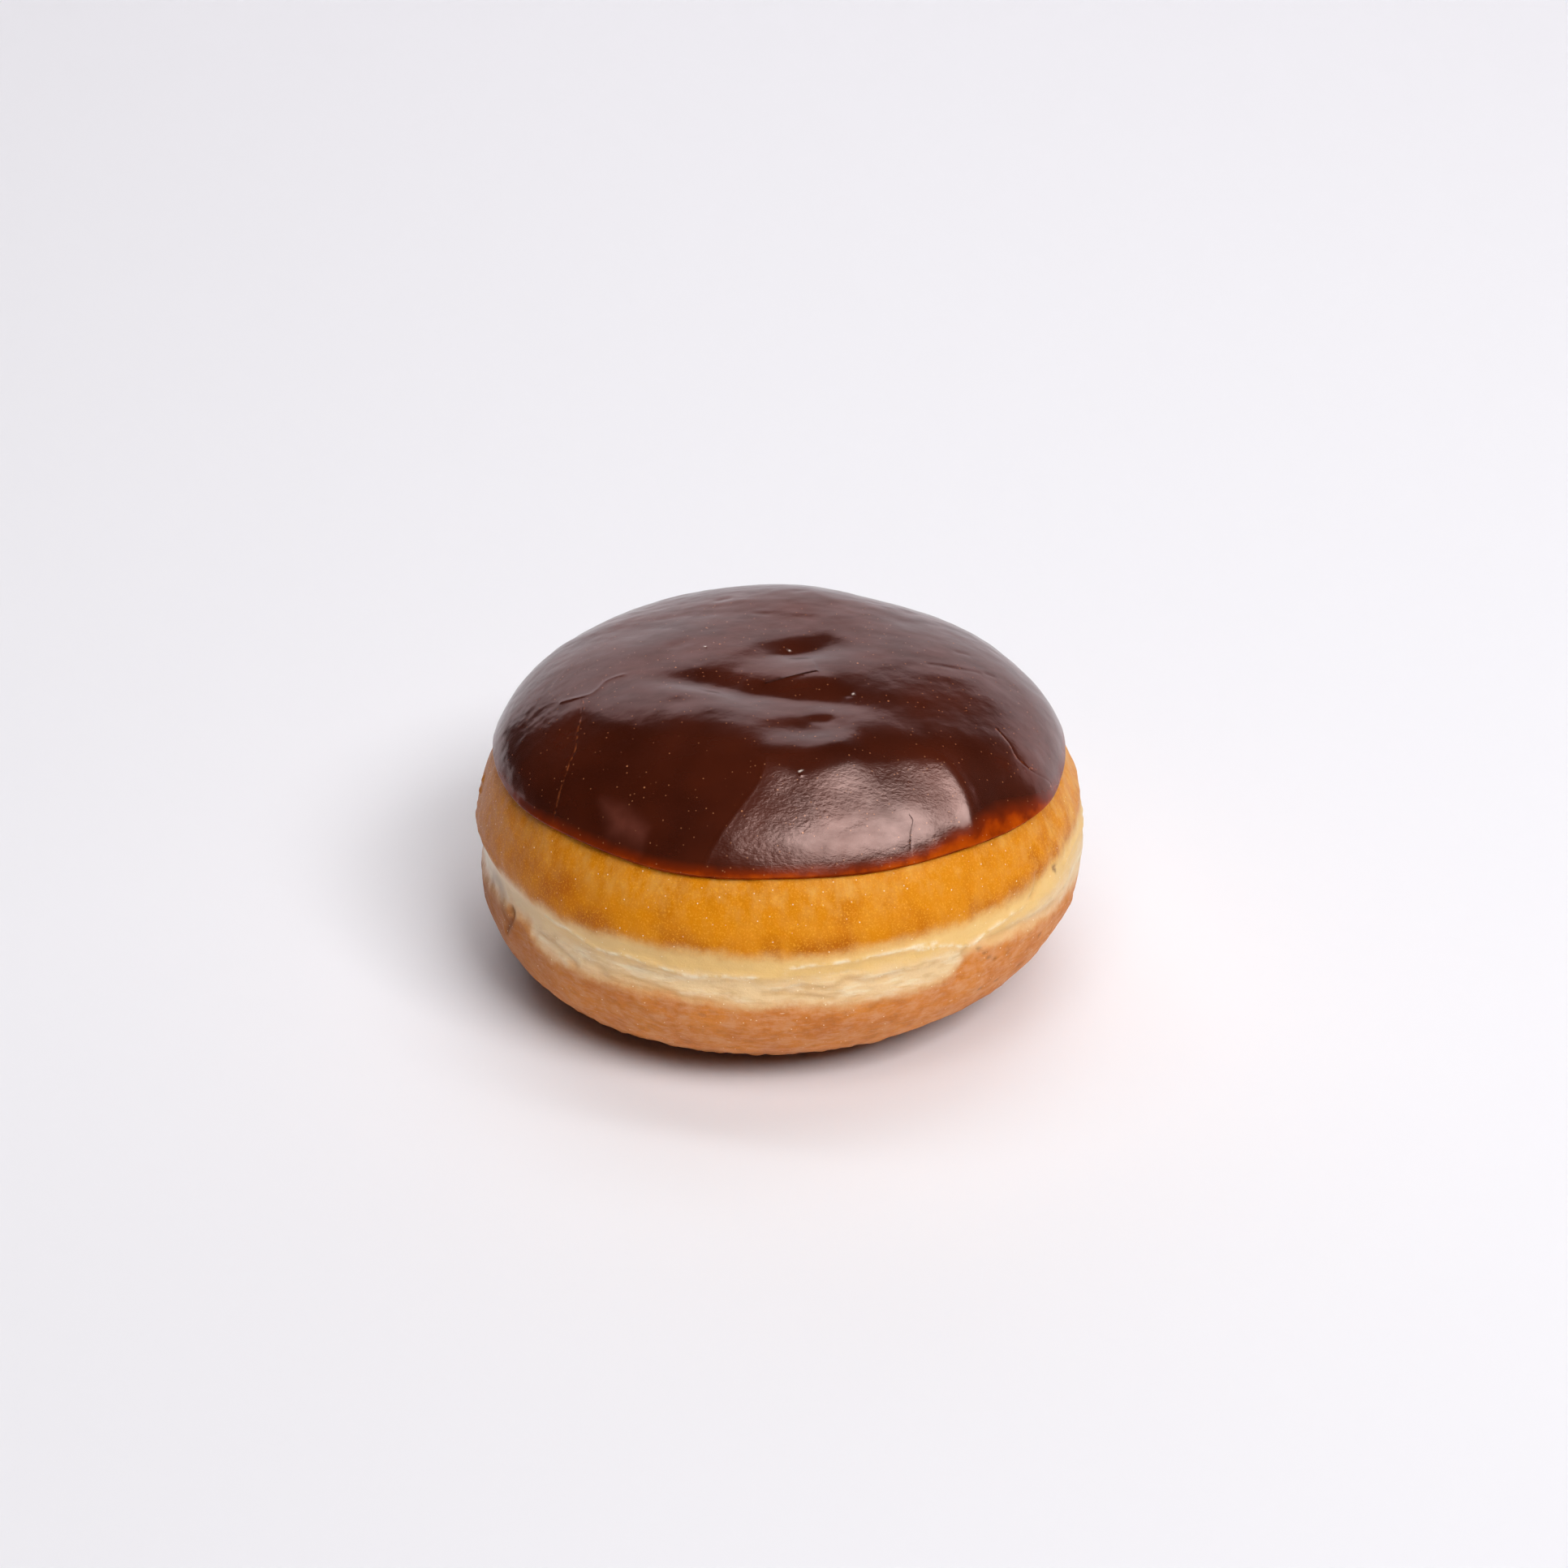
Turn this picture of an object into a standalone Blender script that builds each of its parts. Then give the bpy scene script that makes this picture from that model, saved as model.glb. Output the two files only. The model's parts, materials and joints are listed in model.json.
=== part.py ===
"""A filled doughnut, iced on top: the fried dough with its pale waist, and the chocolate icing cap.

Metres, +Z up. The origin is under the middle of the doughnut, on the surface that it rests on.
Azimuth 0 is the front, -Y, and it grows in degrees towards +X, the right side.
"""

import math
from bisect import bisect_left
from collections import namedtuple

import bmesh
import bpy
from mathutils import Matrix, Vector

# A wave round the doughnut: how many lobes, how large, and the azimuth of one peak
Swell = namedtuple("Swell", "lobes size peak")

# A lip of crust: where it breaks off, how many degrees it runs on from there, how far it reaches
# over the waist and how far it stands out
Lip = namedtuple("Lip", "start run reach stand")

# A dip of the crown at a place of the plan, turned in degrees; below 0 its depth is a rise
Dip = namedtuple("Dip", "x y half_length half_width turn depth")

# Driving sizes of the dough
HALF_WIDTH = 0.0458
DOUGH_HEIGHT = 0.0502
WIDEST_HEIGHT = 0.0206
FOOT_RADIUS = 0.0223

# The soft dough leans: its foot sits to the left and behind, its crown a little to the left
FOOT_DRIFT = Vector((-0.0040, 0.0012, 0.0))
CROWN_DRIFT = Vector((-0.0006, 0.0, 0.0))

# How square the side profile is, outwards and upwards, over the widest level and under it
CROWN_POWERS = (2.93, 2.55)
FLANK_POWERS = (1.9, 2.17)

# The plan's swells, as shares of the radius
PLAN_SWELLS = (Swell(2, 0.0037, 47.0), Swell(3, 0.0038, 72.0), Swell(5, 0.0015, -35.0))

# The pale waist, which floated above the oil while each side fried
WAIST_HEIGHT = 0.0226
WAIST_TILT = 0.0011
WAIST_HALF = 0.0043
WAIST_HALF_SWING = 0.0004
WAIST_DEPTH = 0.0003
WAIST_DEPTH_SWING = 0.0006
WAIST_SWELLS = (Swell(3, 0.0003, -30.0), Swell(8, 0.0002, -20.0))
CRUST_BULGE = 0.0004

# The lips that ride into the waist from the lower and from the upper crust
LIP_BREAK = 3.0
LOWER_LIPS = (
    Lip(-54.0, -30.0, 0.0032, 0.0003),
    Lip(36.0, 30.0, 0.0042, 0.0010),
    Lip(150.0, 25.0, 0.0024, 0.0005),
    Lip(-150.0, 20.0, 0.0028, 0.0006),
)
UPPER_LIPS = (
    Lip(-100.0, -20.0, 0.0014, 0.0004),
    Lip(105.0, 30.0, 0.0016, 0.0004),
    Lip(-165.0, 18.0, 0.0018, 0.0004),
)

# The icing: thickness over the crown and at its edge, and the height that the edge comes down to
ICING_CROWN = 0.0014
ICING_EDGE = 0.0007
ICING_THIN_RUN = 0.007
ICING_EDGE_HEIGHT = 0.0371
ICING_EDGE_SWELLS = (
    Swell(1, 0.0004, -118.0),
    Swell(2, 0.0005, 8.0),
    Swell(5, 0.0002, 25.0),
    Swell(9, 0.00015, 80.0),
)
SKIN_GAP = 0.0003

# The crown's dips and rises, which the icing follows
CROWN_DIPS = (
    Dip(0.0032, 0.0008, 0.0055, 0.0024, 19.0, 0.0008),
    Dip(-0.0020, -0.0115, 0.0120, 0.0024, -14.0, 0.0009),
    Dip(0.0030, -0.0218, 0.0050, 0.0022, 0.0, 0.0006),
    Dip(-0.0130, -0.0125, 0.0090, 0.0026, -31.0, -0.0006),
    Dip(-0.0320, -0.0130, 0.0070, 0.0050, 60.0, 0.0005),
    Dip(-0.0200, 0.0140, 0.0090, 0.0060, 35.0, 0.0004),
    Dip(0.0030, 0.0220, 0.0110, 0.0080, 0.0, -0.0012),
    Dip(0.0170, 0.0300, 0.0080, 0.0060, -30.0, 0.0007),
    Dip(0.0220, -0.0210, 0.0070, 0.0040, 40.0, -0.0004),
)

# How finely the form is drawn: rings on the flank, the waist, the shoulder and under the icing
SEGMENTS = 64
RING_COUNTS = (8, 7, 8, 20)
FIRST_ICED_RING = sum(RING_COUNTS[:3])
PROFILE_STEPS = 240
SLOPE_REACH = HALF_WIDTH / 40

DOUGH_COLOUR = (0.64, 0.33, 0.10, 1.0)
DOUGH_ROUGHNESS = 0.45
ICING_COLOUR = (0.055, 0.012, 0.005, 1.0)
ICING_ROUGHNESS = 0.22

AZIMUTHS = [360.0 * segment / SEGMENTS for segment in range(SEGMENTS)]


def clear_scene():
    for old in list(bpy.data.objects):
        bpy.data.objects.remove(old)


def turned_profile():
    """The dough's side profile from the foot's edge to the crown: radii, heights, lengths along it."""
    outward, upward = CROWN_POWERS
    inward, downward = FLANK_POWERS
    crown_rise = DOUGH_HEIGHT - WIDEST_HEIGHT
    radii, heights, lengths = [], [], []
    for step in range(-PROFILE_STEPS, PROFILE_STEPS + 1):
        turn = 0.5 * math.pi * step / PROFILE_STEPS
        across = max(math.cos(turn), 0.0)
        along = abs(math.sin(turn))
        if step < 0:
            radius = FOOT_RADIUS + (HALF_WIDTH - FOOT_RADIUS) * across ** (2 / inward)
            height = WIDEST_HEIGHT * (1 - along ** (2 / downward))
        else:
            radius = HALF_WIDTH * across ** (2 / outward)
            height = WIDEST_HEIGHT + crown_rise * along ** (2 / upward)
        stretch = math.hypot(radius - radii[-1], height - heights[-1]) if radii else 0.0
        lengths.append(lengths[-1] + stretch if lengths else 0.0)
        radii.append(radius)
        heights.append(height)
    return radii, heights, lengths


RADII, HEIGHTS, LENGTHS = turned_profile()
PROFILE_LENGTH = LENGTHS[-1]


def read_between(keys, value, column):
    """The column's value where the rising keys reach value, held at both ends."""
    high = min(max(bisect_left(keys, value), 1), len(keys) - 1)
    low = high - 1
    share = (value - keys[low]) / (keys[high] - keys[low])
    return column[low] + min(max(share, 0.0), 1.0) * (column[high] - column[low])


def length_at(height):
    return read_between(HEIGHTS, height, LENGTHS)


def sum_of_swells(swells, azimuth):
    return sum(swell.size * math.cos(swell.lobes * math.radians(azimuth - swell.peak)) for swell in swells)


def bell(distance, half_width):
    return math.exp(-((distance / half_width) ** 2))


def lip_share(lip, azimuth):
    """How much of the lip there is here: all of it where it breaks off, fading along its run."""
    turn = (azimuth - lip.start + 180.0) % 360.0 - 180.0
    onward = turn * math.copysign(1.0, lip.run)
    return bell(onward, abs(lip.run) if onward > 0 else LIP_BREAK)


def waist_edges(azimuth):
    """Heights of the lower and the upper crust's edge on the waist."""
    side = math.sin(math.radians(azimuth))
    middle = WAIST_HEIGHT + WAIST_TILT * side + sum_of_swells(WAIST_SWELLS, azimuth)
    half = WAIST_HALF + WAIST_HALF_SWING * side
    low = middle - half + sum(lip.reach * lip_share(lip, azimuth) for lip in LOWER_LIPS)
    high = middle + half - sum(lip.reach * lip_share(lip, azimuth) for lip in UPPER_LIPS)
    return low, high


def icing_edge(azimuth):
    return ICING_EDGE_HEIGHT + sum_of_swells(ICING_EDGE_SWELLS, azimuth)


def ring_lengths(azimuth):
    """Every ring's length along the profile at this azimuth: rings follow the waist and the icing."""
    low, high = waist_edges(azimuth)
    knots = [0.0, length_at(low), length_at(high), length_at(icing_edge(azimuth)), PROFILE_LENGTH]
    return [
        start + (end - start) * ring / count
        for start, end, count in zip(knots, knots[1:], RING_COUNTS)
        for ring in range(count)
    ]


def waist_relief(azimuth, length):
    """How far the surface stands out of the smooth form along the waist and at the crust's lips."""
    low, high = (length_at(height) for height in waist_edges(azimuth))
    depth = WAIST_DEPTH - WAIST_DEPTH_SWING * math.sin(math.radians(azimuth))
    below = CRUST_BULGE + sum(lip.stand * lip_share(lip, azimuth) for lip in LOWER_LIPS)
    above = CRUST_BULGE + sum(lip.stand * lip_share(lip, azimuth) for lip in UPPER_LIPS)
    relief = below * bell(length - low + WAIST_HALF / 2, WAIST_HALF / 2)
    relief += above * bell(length - high - WAIST_HALF / 2, WAIST_HALF / 2)
    if low < length < high:
        relief -= depth * math.sin(math.pi * (length - low) / (high - low)) ** 0.6
    return relief


def crown_relief(x, y):
    """The crown's dips and rises at a place of the plan, as a height over the smooth form."""
    relief = 0.0
    for dip in CROWN_DIPS:
        turn = math.radians(dip.turn)
        along = (x - dip.x) * math.cos(turn) + (y - dip.y) * math.sin(turn)
        across = (y - dip.y) * math.cos(turn) - (x - dip.x) * math.sin(turn)
        relief -= dip.depth * bell(along, dip.half_length) * bell(across, dip.half_width)
    return relief


def surface_point(azimuth, length, lift):
    """A point of the dough's surface at this length along the profile, raised by lift square to it."""
    radius = read_between(LENGTHS, length, RADII)
    height = read_between(LENGTHS, length, HEIGHTS)
    ahead = length + SLOPE_REACH
    behind = length - SLOPE_REACH
    run = read_between(LENGTHS, ahead, RADII) - read_between(LENGTHS, behind, RADII)
    rise = read_between(LENGTHS, ahead, HEIGHTS) - read_between(LENGTHS, behind, HEIGHTS)
    slope = math.hypot(run, rise)
    raised = (lift + waist_relief(azimuth, length)) / slope
    plan = radius * (1 + sum_of_swells(PLAN_SWELLS, azimuth) * radius / HALF_WIDTH)
    turn = math.radians(azimuth)
    point = Vector((math.sin(turn), -math.cos(turn), 0.0)) * (plan + raised * rise)
    point.z = height - raised * run
    rise_share = (height - WIDEST_HEIGHT) / (DOUGH_HEIGHT - WIDEST_HEIGHT)
    point += FOOT_DRIFT * max(1 - height / WIDEST_HEIGHT, 0.0) ** 2
    point += CROWN_DRIFT * max(rise_share, 0.0) ** 2
    point.z += crown_relief(point.x, point.y)
    return point


def crown_tip(lift):
    tip = Vector((0.0, 0.0, DOUGH_HEIGHT + lift)) + CROWN_DRIFT
    tip.z += crown_relief(tip.x, tip.y)
    return tip


def ring_points(first_ring, lift):
    """The rings from the first one up, each a list of points round the doughnut, raised by lift."""
    lengths = [ring_lengths(azimuth) for azimuth in AZIMUTHS]
    return [
        [
            surface_point(azimuth, column[ring], lift(azimuth, column[ring]))
            for azimuth, column in zip(AZIMUTHS, lengths)
        ]
        for ring in range(first_ring, sum(RING_COUNTS))
    ]


def icing_inner_lift(azimuth, length):
    return SKIN_GAP


def icing_outer_lift(azimuth, length):
    """The icing's outer face over the dough: full height on the crown, thinning to its edge."""
    share = min((length - length_at(icing_edge(azimuth))) / ICING_THIN_RUN, 1.0)
    return SKIN_GAP + ICING_EDGE + (ICING_CROWN - ICING_EDGE) * share * (2 - share)


def close_with(shape, loop, tip):
    """Closes the mesh from a loop of vertices to one point."""
    centre = shape.verts.new(tip)
    for near, far in zip(loop, loop[1:] + loop[:1]):
        shape.faces.new((near, far, centre))


def ringed_shape(rings):
    """A mesh of square faces through the rings, open at both ends, with its first and last loop."""
    shape = bmesh.new()
    loops = [[shape.verts.new(point) for point in ring] for ring in rings]
    for low, high in zip(loops, loops[1:]):
        for i in range(SEGMENTS):
            j = (i + 1) % SEGMENTS
            shape.faces.new((low[i], low[j], high[j], high[i]))
    return shape, loops[0], loops[-1]


def finished_mesh(name, shape):
    bmesh.ops.recalc_face_normals(shape, faces=shape.faces)
    mesh = bpy.data.meshes.new(name)
    shape.to_mesh(mesh)
    shape.free()
    return mesh


def dough_mesh():
    """The dough, closed by a flat foot below and a point at the crown."""
    rings = ring_points(0, lambda azimuth, length: 0.0)
    for point in rings[0]:
        point.z = 0.0
    shape, foot, crown = ringed_shape(rings)
    shape.faces.new(foot[::-1])
    close_with(shape, crown, crown_tip(0.0))
    return finished_mesh("dough", shape)


def icing_mesh():
    """The icing: down its inner face from the crown, round the edge's nose and up its outer face."""
    inner = ring_points(FIRST_ICED_RING, icing_inner_lift)
    outer = ring_points(FIRST_ICED_RING, icing_outer_lift)
    nose = [0.5 * (low + high) for low, high in zip(inner[0], outer[0])]
    for point, low, next_up in zip(nose, inner[0], inner[1]):
        point -= (next_up - low).normalized() * ICING_EDGE / 2
    shape, inner_crown, outer_crown = ringed_shape(inner[::-1] + [nose] + outer)
    close_with(shape, inner_crown[::-1], crown_tip(SKIN_GAP))
    close_with(shape, outer_crown, crown_tip(SKIN_GAP + ICING_CROWN))
    return finished_mesh("icing", shape)


def finish(name, colour, roughness):
    material = bpy.data.materials.new(name)
    material.use_nodes = True
    shader = material.node_tree.nodes["Principled BSDF"]
    shader.inputs["Base Color"].default_value = colour
    shader.inputs["Roughness"].default_value = roughness
    shader.inputs["Metallic"].default_value = 0.0
    return material


def add_piece(mesh, material):
    mesh.materials.append(material)
    mesh.shade_smooth()
    piece = bpy.data.objects.new(mesh.name, mesh)
    bpy.context.scene.collection.objects.link(piece)
    return piece


def centre_on_origin(pieces):
    """Brings the middle of the pieces' shared outline over the origin."""
    points = [vertex.co for piece in pieces for vertex in piece.data.vertices]
    middles = [
        (min(point[axis] for point in points) + max(point[axis] for point in points)) / 2
        for axis in (0, 1)
    ]
    shift = Matrix.Translation((-middles[0], -middles[1], 0.0))
    for piece in pieces:
        piece.data.transform(shift)


def main():
    clear_scene()
    dough = add_piece(dough_mesh(), finish("fried_dough", DOUGH_COLOUR, DOUGH_ROUGHNESS))
    icing = add_piece(icing_mesh(), finish("chocolate_icing", ICING_COLOUR, ICING_ROUGHNESS))
    centre_on_origin([dough, icing])


if __name__ == "__main__":
    main()
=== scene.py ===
"""A filled doughnut with chocolate icing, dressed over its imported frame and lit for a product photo.

Metres, +Z up. Azimuth 0 is the front, -Y, and it grows in degrees towards +X, the right side.
Laid out as an add-on, and run as a script.
"""

import json
import math
from collections import namedtuple

import bpy
import numpy as np
from bpy.props import FloatProperty, FloatVectorProperty, PointerProperty
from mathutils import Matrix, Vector
from mathutils.bvhtree import BVHTree

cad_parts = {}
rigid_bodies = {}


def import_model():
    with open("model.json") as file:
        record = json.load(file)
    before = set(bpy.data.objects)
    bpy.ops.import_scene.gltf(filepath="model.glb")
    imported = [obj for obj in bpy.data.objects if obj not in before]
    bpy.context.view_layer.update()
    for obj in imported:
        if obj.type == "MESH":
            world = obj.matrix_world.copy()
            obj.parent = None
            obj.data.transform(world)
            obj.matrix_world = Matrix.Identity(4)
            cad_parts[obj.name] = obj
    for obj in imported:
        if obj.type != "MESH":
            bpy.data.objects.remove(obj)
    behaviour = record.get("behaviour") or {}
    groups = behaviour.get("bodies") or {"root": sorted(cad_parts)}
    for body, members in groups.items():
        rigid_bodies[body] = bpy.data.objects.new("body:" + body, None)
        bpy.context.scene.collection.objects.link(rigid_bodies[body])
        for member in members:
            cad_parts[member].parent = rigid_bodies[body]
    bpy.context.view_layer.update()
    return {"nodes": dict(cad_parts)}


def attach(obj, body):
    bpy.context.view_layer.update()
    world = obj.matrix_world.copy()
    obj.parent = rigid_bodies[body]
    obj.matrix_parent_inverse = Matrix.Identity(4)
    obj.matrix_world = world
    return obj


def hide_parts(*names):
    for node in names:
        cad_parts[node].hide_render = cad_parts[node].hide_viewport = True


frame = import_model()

bl_info = {
    "name": "Iced doughnut",
    "version": (1, 0, 0),
    "blender": (4, 5, 0),
    "location": "3D View > Sidebar > Doughnut",
    "description": "Models a filled doughnut with chocolate icing over its frame, and its studio",
    "category": "Object",
}

MM = 0.001

# The dough's main sizes, as its solid has them
HALF_WIDTH = 0.0458
DOUGH_HEIGHT = 0.0502
WIDEST_HEIGHT = 0.0206
FOOT_RADIUS = 0.0223
CROWN_POWERS = (2.93, 2.55)
FLANK_POWERS = (1.9, 2.17)
ICING_EDGE_HEIGHT = 0.0371

# A wave round the doughnut: how many lobes, how large, and the azimuth of one peak
Swell = namedtuple("Swell", "lobes size peak")

# A lip of crust: where it breaks off, how many degrees it runs on, how far it reaches over the waist
Lip = namedtuple("Lip", "start run reach")

WAIST_HEIGHT = 0.0226
WAIST_TILT = 0.0011
WAIST_HALF = 0.0043
WAIST_HALF_SWING = 0.0004
WAIST_SWELLS = (Swell(3, 0.0003, -30.0), Swell(8, 0.0002, -20.0))
LIP_BREAK = 3.0
LOWER_LIPS = (
    Lip(-54.0, -30.0, 0.0032),
    Lip(36.0, 30.0, 0.0042),
    Lip(150.0, 25.0, 0.0024),
    Lip(-150.0, 20.0, 0.0028),
)
UPPER_LIPS = (
    Lip(-100.0, -20.0, 0.0014),
    Lip(105.0, 30.0, 0.0016),
    Lip(-165.0, 18.0, 0.0018),
)
ICING_EDGE_SWELLS = (
    Swell(1, 0.0004, -118.0),
    Swell(2, 0.0005, 8.0),
    Swell(5, 0.0002, 25.0),
    Swell(9, 0.00015, 80.0),
)

# A stroke of relief: its path, half its width and how far it stands out in millimetres, below 0 a groove
Stroke = namedtuple("Stroke", "path half_width height")

# A patch of relief: its outline, how far in its edge rises, how far its middle stands out, and its slope
Patch = namedtuple("Patch", "outline edge height slope")

# The icing's folds seen from above, as (right, back) of the middle in millimetres
PLATEAU_FOOT = ((-15.5, -8.8), (-10.5, -8.8), (-6.2, -9.8), (-2.4, -11.6), (3, -12.8), (8, -13.8))
LEFT_TEAR = ((-32.1, -7.2), (-28.2, -8.3), (-26.8, -7.5), (-25.5, -5.4), (-23.1, -4.5))
FRONT_CREASE = ((-2, -29.1), (-2.8, -32.3), (-5.6, -35.8), (-8.8, -39.2), (-11, -41.3))
FLAP_CRACK = ((3.7, -0.2), (4.6, -1.5), (5.2, -4.1), (5.5, -6.1), (3, -7.3), (0.3, -8.3), (-2.2, -9.3))
RIGHT_CRACK = ((31.4, -13.9), (33, -15.9), (34, -17.9), (36.2, -18.2), (39.1, -16.3))
LEFT_CRACK = (
    (-28.8, -9.6), (-28.7, -12.4), (-29.3, -15.4), (-29.5, -19.3), (-30.5, -22.1), (-32, -26.4),
    (-32.5, -27.5),
)
CORE_CRACK = ((18.3, -33.9), (18.8, -34.5), (18.5, -35.9), (18.4, -37.4))
GRAIN_PLACES = ((-11.2, 2.1), (1.4, 1.5), (10.6, -11.9), (2.9, -31.8))
GRAIN_REACH = 0.06
SUGAR_GRAINS = tuple(((x - GRAIN_REACH, y), (x + GRAIN_REACH, y)) for x, y in GRAIN_PLACES)
ICING_FOLDS = (
    Stroke(PLATEAU_FOOT, 3.6, -0.28),
    Stroke(((-9.5, -7), (-7, -4.5)), 2.6, -0.16),
    Stroke(((-4.5, -10), (-1, -10.9), (2.5, -9.9), (5.5, -8.2)), 2.4, 0.26),
    Stroke(((-29, -12), (-22, -16), (-13.6, -21), (-5, -27), (3, -30), (9, -28.5)), 6.0, 0.85),
    Stroke(((-14, -22), (-7, -26.5), (0, -29.5), (5, -30)), 6.5, 0.42),
    Stroke(((10, -25), (15, -23), (21, -26), (28, -21), (35, -18)), 5.5, 0.7),
    Stroke(((-6, -21.8), (0, -22.2)), 3.2, 0.18),
    Stroke(((-3.5, -24.4), (2, -25)), 3.6, 0.18),
    Stroke(((4.9, -19.4), (6.6, -19.7)), 1.15, -0.17),
    Stroke(((-14, -14.6), (-9, -14.6), (-5, -15.6), (-1, -16.6), (3, -17)), 2.2, -0.2),
    Stroke(((-3, -28.5), (2.5, -29.2), (8, -28.2)), 3.0, 0.42),
    Stroke(((-2.0, 1.6), (1.5, 2.4), (4.2, 3.6), (7, 4.2)), 1.9, -0.11),
    Stroke(LEFT_TEAR, 0.4, 0.09),
    Stroke(((-36, -9), (-31, -11.5), (-31, -16)), 5.0, -0.2),
    Stroke(((-15.8, 3), (-14.2, 4)), 1.1, -0.12),
    Stroke(((22, -1.0), (25.5, -0.6), (29.4, 0.3)), 0.35, -0.06),
    Stroke(((26.5, 5.4), (28, 5.7)), 0.5, -0.08),
    Stroke(((30.8, 0.9), (31.6, 1.1)), 0.45, -0.08),
    Stroke(((-9.5, 19.8), (-8, 20.2)), 0.6, -0.12),
    Stroke(((-9.5, 17.8), (-6, 18.4)), 0.9, 0.08),
    Stroke(((-3.8, 13.3), (-2, 12.8)), 0.6, -0.1),
    Stroke(((2.2, 21.3), (4, 21.6)), 0.5, -0.1),
    Stroke(((9.7, -12.1), (9.9, -12.1)), 0.5, -0.2),
    *(Stroke(grain, 0.15, 0.1) for grain in SUGAR_GRAINS),
    Stroke(FRONT_CREASE, 0.35, 0.06),
    Stroke(((-1, -29.5), (-1.5, -32), (-4, -35.5), (-7, -38.6)), 2.4, 0.2),
    Stroke(((23.2, -25), (26, -28.5), (27.5, -32)), 1.9, 0.38),
    Stroke(((20.6, -30), (22, -32.4), (24.4, -34.8)), 1.5, -0.11),
    Stroke(((5.7, -40), (6, -39.1), (7.9, -37.9), (11.1, -36.4)), 0.7, -0.06),
    Stroke(CORE_CRACK, 0.2, -0.06),
    Stroke(LEFT_CRACK, 0.16, -0.04),
    Stroke(RIGHT_CRACK, 0.16, -0.035),
)
FLAP = (
    (-5.7, -4), (-3.6, -2.2), (0.3, -1), (4.1, -0.2), (5.3, -3.6), (5.7, -6.4), (3, -7.6), (0.3, -8.9),
    (-2.2, -9.8), (-5.1, -8.1), (-6.5, -6.1),
)
ICING_PATCHES = (Patch(FLAP, 0.4, 0.04, (0.006, -0.016)),)
CRINKLED = (
    (-2, -29.9), (2.9, -32), (8.7, -30.3), (15.7, -27.2), (21.6, -25), (26.5, -28.9), (26, -31.1),
    (23.6, -34.5), (22, -36.6), (15.5, -39.7), (6.7, -41.6), (-0.9, -42.7), (-11, -41.1), (-10.3, -40.3),
    (-5.6, -35.8), (-3.1, -33),
)
SMOOTH_CORE = (
    (-1.5, -39), (5.7, -38.8), (10.2, -36.6), (14.3, -33.8), (19.8, -32.9), (23.3, -33.3), (23.3, -34.8),
    (18.4, -37.4), (10.8, -40.3), (3.5, -41), (-0.3, -39.9),
)
# Outline of a faint painted reflection on the icing's left flank, lighter and greyer pink
PAINTED_REFLECTION_OUTLINE = ((-25.5, -29.6), (-22, -31.6), (-18.4, -35.7), (-19.5, -37.3), (-24.2, -34.2))
CORE_CALM = 0.62
LEATHER_PEAK = 76.0
LEATHER_SPREAD = 42.0
CRACK_HALF_WIDTH = 0.12
GRAIN_HALF_WIDTH = 0.11

# Where the icing's thin edge turns orange, partly its own colour and partly a painted glow of light shining
# through, strongest towards the lights at the front right: at which azimuths, and how far up in millimetres
GLOW_PEAK = 28.0
GLOW_SPREAD = 48.0
GLOW_LEAST = 0.5
GLOW_REACH = 2.9
WIDE_GLOW_PEAK = 48.0
WIDE_GLOW_SPREAD = 14.0

# The dough's folds on its side, as (azimuth in degrees, height in millimetres)
FRONT_SEAM = (
    (-47.5, 25), (-44.5, 24.6), (-40.9, 24.6), (-35.3, 23.2), (-28.2, 23.7), (-20.9, 23.1), (-15.5, 22.6),
    (-11.8, 23.2), (-0.9, 23.7), (2.3, 25.2), (13.6, 25.8), (20.4, 26.2), (28.7, 26.2),
)
RIGHT_SEAM = ((25, 25.6), (30.8, 25.2), (35.6, 23.9), (39.3, 24.8), (44.9, 25.7), (49.5, 25.8))
BACK_SEAM_RIGHT = (
    (65.1, 26.7), (71.7, 27.3), (77.6, 26.8), (95, 25.6), (120, 24.2), (145, 24.8), (165, 23.8), (180, 23.8),
)
BACK_SEAM_LEFT = (
    (-180, 23.8), (-160, 24.3), (-140, 23.6), (-115, 24.6), (-95, 26), (-73.3, 26.6), (-65, 26.2),
    (-61.9, 23), (-55.6, 21), (-51.9, 19.7),
)
LEFT_NOTCH = ((-59.4, 21.5), (-58.1, 21), (-59.5, 18.9), (-61.4, 17))
FLAP_EDGE = ((35.1, 23.8), (34.4, 22.9), (35, 21.8), (34.1, 20.4), (33.7, 18.7))
TUCK = ((54.8, 28.9), (54.5, 27.9), (53.5, 26.9), (52.4, 26.3))
AMBER_DOTS = (
    (37.4, 23), (38.7, 22), (40, 20.7), (41.6, 19.9), (55.1, 18.9), (51, 14.8), (44.6, 14.4), (40.1, 14.5),
)
SQUIGGLE = ((61.6, 28.1), (60.6, 28.1), (61.3, 27.4), (60.6, 27.8), (61.2, 27))
SEAMS = (FRONT_SEAM, RIGHT_SEAM, BACK_SEAM_RIGHT, BACK_SEAM_LEFT)
SEAM_HALF_WIDTH = 0.42
SEAM_HEIGHT = 0.2
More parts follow.
